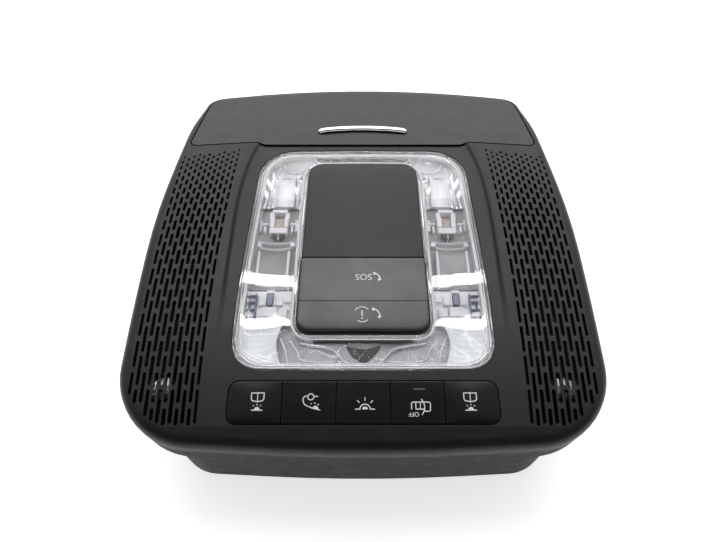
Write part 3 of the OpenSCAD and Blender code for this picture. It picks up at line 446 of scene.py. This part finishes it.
def lens_ring_of(mix, offset, drop, wavy):
    if mix in (0, 1):
        loop = inset(lens_loop, offset) if mix == 0 else inset(hole_loop, -offset)
    else:
        outer, inner = inset(lens_loop, CHANNEL), inset(hole_loop, -CHANNEL)
        loop = [a.lerp(b, mix) for a, b in zip(outer, inner)]
    return [(p.x, p.y, deck(p.y) - drop + (lens_wave(p.x, p.y) if wavy else 0.0)) for p in loop]


def skinned(name, rings, look, replaced=()):
    """Skins closed rings, the last one back to the first."""
    bm = bmesh.new()
    rows = [[bm.verts.new(p) for p in ring] for ring in rings]
    n = len(rows[0])
    for k, row in enumerate(rows):
        following = rows[(k + 1) % len(rows)]
        for i in range(n):
            j = (i + 1) % n
            bm.faces.new((row[i], row[j], following[j], following[i]))
    for skin in bm.faces:
        skin.smooth = True
    return added(name, bm, look, replaced=replaced)


def lens():
    rings = [lens_ring_of(*entry, False) for entry in LENS_TOP]
    rings += [lens_ring_of(*entry, 0 < entry[0] < 1) for entry in LENS_BELOW]
    skinned("lens_clear", rings, "lens", replaced=("lens_ring",))


def band(name, loop, offsets, drops, look):
    """A plain ring between two offsets of a loop, from one depth below the centre section to another."""
    corners = [(offsets[0], drops[1]), (offsets[0], drops[0]), (offsets[1], drops[0]), (offsets[1], drops[1])]
    rings = [[(p.x, p.y, deck(p.y) - drop) for p in inset(loop, offset)] for offset, drop in corners]
    softened_edges(skinned(name, rings, look))


def rims():
    """White flanges of the reflector inside both rims of the lens, and a dark collar round the wide keys."""
    band("reflector_rim_outer", lens_loop, (1.0, 1.6), (2.6, 9.0), "bowl")
    band("reflector_rim_inner", hole_loop, (-1.3, -1.95), (2.6, 9.0), "bowl")
    collar = (lambda y: -0.12, lambda y: -0.17 - key_gap(y))
    band("key_collar", panel_loop, collar, (0.9, 5.0), "rubber")


# What shows under the lens: bowls, wells and lamp holders, in mirrored pairs. In the height functions
# u runs from 0 to 1 across a sheet and v along it

SHEET_THICK = 0.8
RIB_HEIGHT = 1.4

# Heights on which the blocks stand
FOOT_Z = 57.0
LAMP_FOOT_Z = 58.0


def sheet(name, look, slot, xs, ys, height, steps=(24, 24), sign=1, bend=0.0):
    """A thin moulded sheet between two places across and two along, at a height given by a function."""
    bm = bmesh.new()
    nx, ny = steps
    grid = []
    for j in range(ny + 1):
        row = []
        for i in range(nx + 1):
            u, v = i / nx, j / ny
            start = xs[0] + bend * math.sin(math.pi * v)
            x = start + (xs[1] - start) * u
            y = ys[0] + (ys[1] - ys[0]) * v
            row.append((sign * x, y, height(u, v)))
        grid.append(row)
    top = [[bm.verts.new(p) for p in row] for row in grid]
    low = [[bm.verts.new((p[0], p[1], p[2] - SHEET_THICK)) for p in row] for row in grid]
    for j in range(ny):
        for i in range(nx):
            bm.faces.new((top[j][i], top[j][i + 1], top[j + 1][i + 1], top[j + 1][i]))
            bm.faces.new((low[j][i], low[j + 1][i], low[j + 1][i + 1], low[j][i + 1]))
    for j in range(ny):
        for i in (0, nx):
            bm.faces.new((top[j][i], top[j + 1][i], low[j + 1][i], low[j][i]))
    for i in range(nx):
        for j in (0, ny):
            bm.faces.new((top[j][i], top[j][i + 1], low[j][i + 1], low[j][i]))
    for skin in bm.faces:
        skin.smooth = True
    softened_edges(added(name, bm, look))


def blocks(name, look, boxes, sign, foot=FOOT_Z, bevel=0.25):
    """Small moulded blocks with rounded edges, each given as x0, x1, y0, y1 and the height of its top."""
    bm = bmesh.new()
    for x0, x1, y0, y1, top in boxes:
        for v in bmesh.ops.create_cube(bm, size=1.0)["verts"]:
            v.co = (sign * (x0 + (x1 - x0) * (v.co.x + 0.5)), y0 + (y1 - y0) * (v.co.y + 0.5),
                    foot + (top - foot) * (v.co.z + 0.5))
    obj = added(name, bm, look)
    rounded = obj.modifiers.new("bevel", "BEVEL")
    rounded.width = bevel * MM
    rounded.segments = 2


def prism(bm, outline, low, high):
    """A solid on a flat outline, between two heights given by functions of the place along."""
    lower = [bm.verts.new((x, y, low(y))) for x, y in outline]
    upper = [bm.verts.new((x, y, high(y))) for x, y in outline]
    bm.faces.new(upper)
    bm.faces.new(lower[::-1])
    for i in range(len(outline)):
        j = (i + 1) % len(outline)
        bm.faces.new((lower[i], lower[j], upper[j], upper[i]))


def plate(name, look, outline, top, thick):
    bm = bmesh.new()
    prism(bm, outline, lambda y: top - thick, lambda y: top)
    added(name, bm, look)


def half_moon(x, y, r):
    turns = [math.radians(180 + 15 * k) for k in range(13)]
    return [(x + r * math.cos(t), y + r * math.sin(t)) for t in turns]


def crescent(half_w, tips_y, upper_y, lower_y, steps=16):
    """Outline between two bows that meet at their tips."""
    xs = [half_w * math.sin(math.pi * (k / steps - 0.5)) for k in range(steps + 1)]
    upper = [(x, tips_y + (upper_y - tips_y) * (1 - (x / half_w) ** 2)) for x in xs]
    lower = [(x, tips_y + (lower_y - tips_y) * (1 - (x / half_w) ** 2)) for x in xs[1:-1]]
    return upper + lower[::-1]


def trough(depth, rim):
    """A trough across the channel, flat in the middle, that rises to its rim at both sides."""
    return lambda u, v: rim - depth * (1 - abs(2 * u - 1) ** 4.0)


def dome_end(t):
    """Quarter-round close of a bowl, from 0 at its end to 1."""
    return math.sqrt(max(0.0, 1 - max(0.0, 1 - t) ** 2))


def far_bowl(u, v):
    across = 1 - abs(2 * u - 1) ** 2.6
    return 61.4 - 5.6 * across * dome_end(v / 0.16) * dome_end((1 - v) / 0.4)


def far_flank(u, v):
    """Rippled bright wall beside the far bowl."""
    x = 2 * u - 1
    return 59.8 + 0.24 * math.sin(9 * x + 4 * math.sin(5 * v + x)) + 0.3 * v


def near_bowl(u, v):
    across = 1 - abs(2 * u - 1) ** 2.4
    streaks = 0.12 * math.sin(v * 46 + 3 * u) + 0.16 * math.sin(v * 9 + 16 * u) * u
    return 61.4 - 6.0 * across * dome_end(v / 0.4) * dome_end((1 - v) / 0.2) + streaks


def arched_steps(u, v):
    """Arched steps in the far corner, beyond the bowl."""
    bend = (2 * u - 1) ** 2
    return 59.8 + 0.6 * v + 0.2 * math.sin(7.5 * (v + 0.4 * bend) - 1.2)


def far_floor(u, v):
    return 60.6 + 0.6 * v * v


def near_floor(u, v):
    x = 2 * u - 1
    return 58.6 + 0.5 * math.cos(9 * x) * math.sin(3.1 * v) + 0.25 * math.sin(5 * v + 3 * abs(x))


def smooth_line(points, steps=6):
    """A curve through the given points."""
    points = [Vector(p) for p in points]
    ends = [points[0] * 2 - points[1]] + points + [points[-1] * 2 - points[-2]]
    curve = []
    for i in range(1, len(ends) - 2):
        a, b, c, d = ends[i - 1:i + 3]
        for k in range(steps):
            t = k / steps
            curve.append((b * 2 + (c - a) * t + (a * 2 - b * 5 + c * 4 - d) * t * t
                          + (b * 3 - a - c * 3 + d) * t * t * t) / 2)
    return curve + [points[-1]]


def ribs(name, look, lines, top, sign, width=0.7):
    """Round-topped moulded ribs along curves."""
    bm = bmesh.new()
    half = [(0.3, -0.08), (0.5, -0.35), (0.5, -1.0)]
    profile = [(-across, up) for across, up in reversed(half)] + [(0.0, 0.0)] + half
    for line in lines:
        curve = smooth_line(line)
        rows = []
        for i, p in enumerate(curve):
            along = (curve[min(i + 1, len(curve) - 1)] - curve[max(i - 1, 0)]).normalized()
            side = Vector((-along.y, along.x))
            row = []
            for across, up in profile:
                place = p + side * across * width
                row.append(bm.verts.new((sign * place.x, place.y, top + up * RIB_HEIGHT)))
            rows.append(row)
        for i in range(len(rows) - 1):
            for k in range(len(profile)):
                m = (k + 1) % len(profile)
                bm.faces.new((rows[i][k], rows[i + 1][k], rows[i + 1][m], rows[i][m]))
        bm.faces.new(rows[0])
        bm.faces.new(rows[-1][::-1])
    for skin in bm.faces:
        skin.smooth = True
    softened_edges(added(name, bm, look))


FAR_HOLDER = [
    (41.0, 50.0, 15.4, 16.4, 60.2), (41.4, 49.6, 11.4, 13.6, 61.2), (40.0, 42.6, 7.4, 12.0, 60.6),
    (48.2, 50.8, 7.4, 12.0, 60.6), (40.4, 43.0, 1.8, 8.0, 60.9), (47.9, 50.4, 1.8, 8.0, 60.9),
    (40.6, 50.2, -2.6, 1.2, 61.3), (45.15, 45.65, -6.6, -2.6, 61.1), (36.4, 39.6, 3.8, 5.0, 60.4),
    (51.4, 55.4, 3.8, 5.0, 60.4), (36.0, 36.9, -0.4, 7.2, 60.2), (54.8, 55.7, -0.4, 7.2, 60.2),
    (52.2, 53.4, -1.4, 2.6, 60.7), (37.6, 38.8, -1.4, 2.6, 60.7), (36.4, 38.6, -10.8, -8.2, 60.6),
    (53.6, 55.8, -10.8, -8.2, 60.6)]
NEAR_HOLDER = [
    (44.2, 48.2, -39.6, -37.6, 60.6), (40.0, 43.6, -46.2, -40.6, 60.4), (48.8, 51.6, -46.2, -40.6, 60.4),
    (42.4, 50.0, -52.6, -47.4, 60.8), (37.6, 41.6, -52.4, -47.6, 60.0), (43.6, 44.3, -47.0, -39.8, 61.2),
    (48.1, 48.8, -47.0, -39.8, 61.2), (36.0, 39.2, -44.4, -43.4, 60.4), (36.0, 36.9, -47.0, -40.0, 60.4)]
NEAR_CASE = [
    (52.8, 53.5, -53.4, -39.6, 60.8), (59.4, 60.1, -53.4, -39.6, 60.6), (53.6, 59.3, -41.0, -40.2, 60.4),
    (53.6, 59.3, -44.6, -43.8, 60.4), (53.6, 59.3, -48.8, -48.0, 60.4), (53.6, 59.3, -53.2, -52.4, 60.8),
    (56.0, 56.6, -47.8, -44.8, 60.4)]
WELL_RIBS = [(38.2, 39.6, -34.6, -13.6, 60.9), (53.6, 55.0, -34.6, -13.6, 60.9)]
FAR_LAMP = [(43.4, 47.6, 2.0, 7.8, 60.2)]
NEAR_LAMP = [(44.8, 47.6, -46.4, -40.2, 60.8)]
WINDOW_X = 45.4
FAR_RIBS = [
    [(28.2, 53.6), (26.6, 49.4), (21.6, 46.6)],
    [(45.4, 46.4), (43.6, 42.2), (37.2, 41.2), (31.6, 44.0)],
    [(36.4, 24.6), (35.4, 32.6), (37.2, 35.8), (35.2, 38.4), (32.6, 37.2), (31.6, 32.0), (34.6, 24.0)],
    [(52.2, 17.2), (50.2, 34.0), (47.6, 44.6)]]
FAR_SHELF = [
    [(36.6, -7.6), (40.0, -8.4), (45.4, -8.9), (50.8, -8.4), (55.6, -7.6)],
    [(38.2, -11.6), (42.0, -12.3), (45.4, -12.6), (49.6, -12.3), (54.0, -11.6)]]
NEAR_RIBS = [
    [(30.0, -67.2), (23.0, -68.2), (14.9, -69.8), (11.2, -73.6), (7.6, -77.2), (1.6, -78.2)],
    [(34.6, -66.0), (31.2, -71.0), (29.0, -75.6), (21.4, -76.8), (13.4, -76.4)],
    [(39.4, -64.6), (36.8, -70.6), (35.0, -77.2)]]

# Sheets on each side: name, look, places across, places along, height and what else they need
SIDE_SHEETS = [
    ("far_flank_inner", "mirror", (30.8, 39.0), (15.4, 42.0), far_flank, {}),
    ("far_flank_outer", "mirror", (47.8, 57.2), (15.4, 42.0), far_flank, {}),
    ("far_bowl", "bowl", (38.4, 48.6), (15.4, 38.6), far_bowl, {}),
    ("far_arch", "guide", (27.6, 54.2), (37.6, 52.8), arched_steps, {"steps": (40, 40)}),
    ("far_base", "well", (32.0, 58.4), (-12.4, 15.0), trough(0.4, 58.2), {}),
    ("side_well", "well", (34.6, 59.6), (-36.6, -12.8), trough(2.2, 60.6), {}),
    ("near_base", "bowl", (34.6, 61.2), (-56.0, -37.0), trough(0.6, 58.6), {}),
    ("near_bowl", "cool_bowl", (38.4, 60.2), (-78.6, -56.2), near_bowl, {"steps": (24, 60), "bend": 2.6}),
]


def under_lens():
    for side, sign in SIDES:
        for name, look, xs, ys, height, more in SIDE_SHEETS:
            sheet(f"{name}_{side}", look, WHITE, xs, ys, height, sign=sign, **more)
        blocks(f"far_holder_{side}", "holder", FAR_HOLDER, sign)
        blocks(f"near_holder_{side}", "holder", NEAR_HOLDER, sign)
        blocks(f"near_case_{side}", "blue_grey", NEAR_CASE, sign)
        blocks(f"well_ribs_{side}", "holder", WELL_RIBS, sign, LAMP_FOOT_Z, bevel=0.5)
        blocks(f"far_lamp_{side}", "beige", FAR_LAMP, sign, LAMP_FOOT_Z)
        blocks(f"near_lamp_{side}", "blue_grey", NEAR_LAMP, sign, LAMP_FOOT_Z)
        ribs(f"far_ribs_{side}", "bowl", FAR_RIBS, 61.4, sign)
        ribs(f"far_shelf_{side}", "bowl", FAR_SHELF, 60.8, sign, width=0.6)
        ribs(f"near_ribs_{side}", "bowl", NEAR_RIBS, 61.0, sign)
        window = half_moon(sign * WINDOW_X, -2.9, 3.5)
        plate(f"far_window_{side}", "dark", window, 61.0, 1.5)
    sheet("near_guide", "guide", WHITE, (-42.0, 42.0), (-79.2, -63.4), near_floor, steps=(80, 24))
    sheet("far_guide", "shadow", WHITE, (-27.5, 27.5), (45.0, 53.2), far_floor, steps=(24, 10))
    plate("near_shadow", "shadow", crescent(8.2, -68.4, -70.0, -76.4), 60.6, 1.2)


lens()
rims()
under_lens()


# Symbols on the keys: thin flat shapes on the crowned tops

class Drawing:
    """Polygons in millimetres, as seen from the near end."""

    def __init__(self):
        self.shapes = []

    def area(self, points):
        self.shapes.append([Vector(p) for p in points])

    def line(self, points, width):
        points = [Vector(p) for p in points]
        for a, b in zip(points, points[1:]):
            along = (b - a).normalized() * width / 2
            across = Vector((-along.y, along.x))
            self.area([a - along * 0.5 - across, b + along * 0.5 - across,
                       b + along * 0.5 + across, a - along * 0.5 + across])

    def arc(self, x, y, r, start, end, width, steps=20):
        turn = [math.radians(start + (end - start) * k / steps) for k in range(steps + 1)]
        inner = [(x + (r - width / 2) * math.cos(t), y + (r - width / 2) * math.sin(t)) for t in turn]
        outer = [(x + (r + width / 2) * math.cos(t), y + (r + width / 2) * math.sin(t)) for t in turn]
        for k in range(steps):
            self.area([inner[k], outer[k], outer[k + 1], inner[k + 1]])

    def disc(self, x, y, r, start=0.0, end=360.0, steps=24):
        turn = [math.radians(start + (end - start) * k / steps) for k in range(steps + 1)]
        if end - start >= 360:
            turn = turn[:-1]
        self.area([(x + r * math.cos(t), y + r * math.sin(t)) for t in turn])

    def placed(self, x0, y0):
        return [[(x0 + p[0], y0 + p[1]) for p in shape] for shape in self.shapes]


STROKE = 0.45
PRINT_LIFT = 0.05
PRINT_SUNK = 0.1
LETTER_LIFT = 0.06


def printed(name, drawing, x0, y0, top, body, look="print"):
    """Lays a drawing on a key at x0, y0."""
    bm = bmesh.new()
    for outline in drawing.placed(x0, y0):
        prism(bm, outline, lambda y: top(y) - PRINT_SUNK, lambda y: top(y) + PRINT_LIFT)
    added(name, bm, look, body)


def reading_symbol():
    """Open book over a half dome with three rays."""
    d = Drawing()
    for side in (-1, 1):
        d.line([(0, 3.7), (side * 0.6, 3.5), (side * 2.8, 3.6), (side * 2.8, 0.9), (side * 2.3, 0.1),
                (side * 1.1, -0.1), (0, -0.4)], STROKE)
    d.line([(0, 3.9), (0, -0.4)], STROKE * 0.8)
    for x, y in ((-1.6, -2.1), (0, -1.6), (1.6, -2.1)):
        d.disc(x, y, 0.3, steps=10)
    d.disc(0, -4.0, 1.35, 0, 180)
    d.line([(-2.4, -4.05), (2.4, -4.05)], STROKE)
    return d


def seat_symbol():
    """Leaning figure with a ring for the head, over a half dome with three rays."""
    d = Drawing()
    d.arc(-0.3, 2.2, 1.35, 0, 360, STROKE)
    d.line([(1.2, 2.4), (2.8, 2.4)], STROKE)
    d.line([(-2.2, 2.7), (-3.3, 2.2), (-3.8, 1.2), (-3.4, -0.4), (-2.9, -1.2), (-1.4, -2.0),
            (1.0, -2.9)], STROKE)
    d.line([(0.4, -2.75), (4.0, -3.6)], STROKE)
    d.disc(1.9, -3.0, 1.3, -14, 166)
    for x, y in ((0.0, -0.8), (1.6, -0.6), (3.1, -1.2)):
        d.disc(x, y, 0.3, steps=10)
    return d


def room_symbol():
    """Half dome in an arch, with rays."""
    d = Drawing()
    d.arc(0, 0, 2.3, 0, 180, STROKE)
    d.disc(0, 0, 1.25, 0, 180)
    d.line([(-4.3, 0.1), (-2.2, 0.1)], STROKE)
    d.line([(2.2, 0.1), (4.3, 0.1)], STROKE)
    d.line([(0, 3.9), (0, 5.3)], STROKE * 0.9)
    for side in (-1, 1):
        d.line([(side * 2.5, 2.9), (side * 3.4, 3.9)], STROKE * 0.9)
    return d


def door_symbol():
    """Car from above, crossed by the curve of its windscreen."""
    d = Drawing()
    d.line([(-3.9, -1.0), (-3.9, 1.5), (-3.4, 2.1), (4.0, 2.1), (4.5, 1.5), (4.4, -1.5), (3.9, -1.9),
            (1.4, -1.9)], STROKE)
    d.line([(-2.0, -1.0), (-2.0, 1.9)], STROKE)
    d.line([(0.0, -0.9), (0.0, 1.9)], STROKE * 0.8)
    d.line([(-2.0, -1.0), (1.6, -1.0)], STROKE)
    d.line([(0.6, 3.4), (1.6, 1.7), (1.95, 0.2), (1.7, -1.6), (0.7, -3.4)], STROKE)
    return d


def handset(scale=1.0):
    """Curved handset, thick at both ends, bulging away from the symbol beside it."""
    d = Drawing()
    centre = Vector((-3.1, -2.2)) * scale
    d.arc(centre.x, centre.y, 4.4 * scale, 8, 66, 0.65, 12)
    for turn in (6, 68):
        t = math.radians(turn)
        out = Vector((math.cos(t), math.sin(t)))
        along = Vector((-out.y, out.x))
        end = centre + out * 4.1 * scale
        d.line([end - out * 0.45 - along * 0.35, end + out * 0.3 + along * 0.2], 1.25)
    return d


def call_symbol():
    """Ring in two arcs round a plain letter i."""
    d = Drawing()
    d.arc(0, 0, 3.9, 40, 150, STROKE)
    d.arc(0, 0, 3.9, 235, 315, STROKE)
    d.line([(0, 1.9), (0, -0.7)], STROKE * 1.4)
    d.disc(0, -2.0, 0.45, steps=12)
    return d


def bar_symbol():
    d = Drawing()
    d.line([(-2.4, 0), (2.4, 0)], 0.8)
    return d


def lettering(name, text, size, x0, y0, top, body):
    """Plain generic lettering as thin flat shapes."""
    curve = bpy.data.curves.new(name, "FONT")
    curve.body = text
    curve.size = size * MM
    curve.align_x = "CENTER"
    curve.align_y = "CENTER"
    curve.extrude = LETTER_LIFT * MM
    obj = bpy.data.objects.new(name, curve)
    bpy.context.scene.collection.objects.link(obj)
    bpy.context.view_layer.update()
    mesh = bpy.data.meshes.new_from_object(obj)
    bpy.data.objects.remove(obj)
    for v in mesh.vertices:
        x, y, z = v.co
        v.co = (x0 * MM - x, y0 * MM - y, z)
        v.co.z = top(v.co.y / MM) * MM + z
    mesh.materials.clear()
    mesh.materials.append(LOOKS["print"])
    piece = bpy.data.objects.new(name, mesh)
    bpy.context.scene.collection.objects.link(piece)
    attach(piece, body)


def panel_top(y):
    return deck(y) + PANEL_RISE


READING_Y = -95.8
printed("symbol_reading_left", reading_symbol(), -47.1, READING_Y, deck, "reading_key_left_body")
printed("symbol_seat", seat_symbol(), -23.1, -96.2, deck, "rear_seat_key_body")
printed("symbol_room", room_symbol(), 0.8, -99.5, deck, "room_light_key_body")
printed("symbol_door", door_symbol(), 25.3, -98.4, deck, "door_light_key_body")
printed("indicator_bar", bar_symbol(), 25.1, -90.5, deck, "door_light_key_body", look="print_dim")
lettering("letters_off", "OFF", 2.7, 22.3, -101.6, deck, "door_light_key_body")
printed("symbol_reading_right", reading_symbol(), 47.7, READING_Y, deck, "reading_key_right_body")
lettering("letters_sos", "SOS", 4.8, 0.3, -34.6, panel_top, "emergency_key_body")
printed("symbol_handset_sos", handset(), 7.2, -34.2, panel_top, "emergency_key_body")
printed("symbol_handset_call", handset(1.15), 6.7, -54.2, panel_top, "telephone_key_body")
printed("symbol_call", call_symbol(), -0.5, -55.1, panel_top, "telephone_key_body")

# Light, floor and camera, in metres and degrees

FLOOR_HALF = 6.0
FLOOR_GLOW = 0.70
STRIP_X = 0.4
STRIP_Z = 1.57
PICTURE_W = 722.0
FOCAL_PX = 560.0
CAMERA_PLACE = (-0.0010, -0.1830, 0.30265)
CAMERA_DIP = 57.0


def ray_kinds(tree, *kinds):
    """1 for rays of any of these kinds, else 0."""
    path = tree.nodes.new("ShaderNodeLightPath")
    out = path.outputs[kinds[0]]
    for kind in kinds[1:]:
        out = math_node(tree, "MAXIMUM", out, path.outputs[kind])
    return out


def world():
    """Pale studio, darker overhead, with a white background."""
    studio = bpy.data.worlds.new("studio")
    bpy.context.scene.world = studio
    studio.use_nodes = True
    tree = studio.node_tree
    tree.nodes.clear()
    _, y, z = split_place(tree, "Generated")
    overhead = ramp(tree, z, 0.92, (0.02, 0.02, 0.021), 0.78, 0.95)
    # Y runs from -1 behind the camera to 1 beyond the object
    along = math_node(tree, "MULTIPLY", math_node(tree, "ADD", y, 1.0), 0.5)
    behind = ramp(tree, along, 0.10, 1.0, 0.30, 0.55)
    shade = tree.nodes.new("ShaderNodeMix")
    shade.data_type = "RGBA"
    shade.blend_type = "MULTIPLY"
    shade.inputs["Factor"].default_value = 1.0
    tree.links.new(overhead, shade.inputs["A"])
    tree.links.new(behind, shade.inputs["B"])
    light = tree.nodes.new("ShaderNodeBackground")
    tree.links.new(shade.outputs["Result"], light.inputs["Color"])
    white = tree.nodes.new("ShaderNodeBackground")
    white.inputs["Color"].default_value = (1, 1, 1, 1)
    for background in (light, white):
        background.inputs["Strength"].default_value = 1.0
    mix = tree.nodes.new("ShaderNodeMixShader")
    tree.links.new(ray_kinds(tree, "Is Camera Ray", "Is Transmission Ray"), mix.inputs["Fac"])
    tree.links.new(light.outputs["Background"], mix.inputs[1])
    tree.links.new(white.outputs["Background"], mix.inputs[2])
    out = tree.nodes.new("ShaderNodeOutputWorld")
    tree.links.new(mix.outputs["Shader"], out.inputs["Surface"])


def floor():
    mesh = bpy.data.meshes.new("floor")
    corners = [(x * FLOOR_HALF, y * FLOOR_HALF, 0) for x, y in ((-1, -1), (1, -1), (1, 1), (-1, 1))]
    mesh.from_pydata(corners, [], [(0, 1, 2, 3)])
    obj = bpy.data.objects.new("floor", mesh)
    bpy.context.scene.collection.objects.link(obj)
    material, tree, shader = new_material("floor_white")
    shader.inputs["Base Color"].default_value = (0.80, 0.80, 0.81, 1)
    shader.inputs["Roughness"].default_value = 0.6
    shader.inputs["Emission Color"].default_value = (1, 1, 1, 1)
    rays = ray_kinds(tree, "Is Camera Ray", "Is Glossy Ray", "Is Transmission Ray")
    glow = math_node(tree, "MULTIPLY", rays, FLOOR_GLOW)
    tree.links.new(glow, shader.inputs["Emission Strength"])
    mesh.materials.append(material)


def lamp(name, place, turn, size_x, size_y, watts):
    data = bpy.data.lights.new(name, "AREA")
    data.shape = "RECTANGLE"
    data.size = size_x
    data.size_y = size_y
    data.energy = watts
    obj = bpy.data.objects.new(name, data)
    bpy.context.scene.collection.objects.link(obj)
    obj.location = place
    obj.rotation_euler = [math.radians(t) for t in turn]


def ceiling_strips():
    """Two bent strips overhead, of two lamps each, which show as two white bands in the lens."""
    for side, sign in SIDES:
        lamp(f"strip_far_{side}", (sign * STRIP_X, 0.770, STRIP_Z), (0, 0, sign * 5.0), 0.84, 0.075, 3.6)
        lamp(f"strip_near_{side}", (sign * STRIP_X, 0.460, STRIP_Z), (0, 0, -sign * 24.0), 0.86, 0.058, 3.0)


world()
floor()
ceiling_strips()
lamp("wall", (0, 2.2, 1.5), (-57.5, 0, 0), 3.0, 1.2, 22)

camera_data = bpy.data.cameras.new("camera")
camera_data.sensor_width = 36.0
camera_data.lens = camera_data.sensor_width * FOCAL_PX / PICTURE_W
camera_data.clip_start = 0.01
camera = bpy.data.objects.new("camera", camera_data)
camera.location = CAMERA_PLACE
camera.rotation_euler = (math.radians(90 - CAMERA_DIP), 0, 0)
bpy.context.scene.collection.objects.link(camera)
bpy.context.scene.camera = camera
bpy.context.scene.view_settings.view_transform = "Standard"
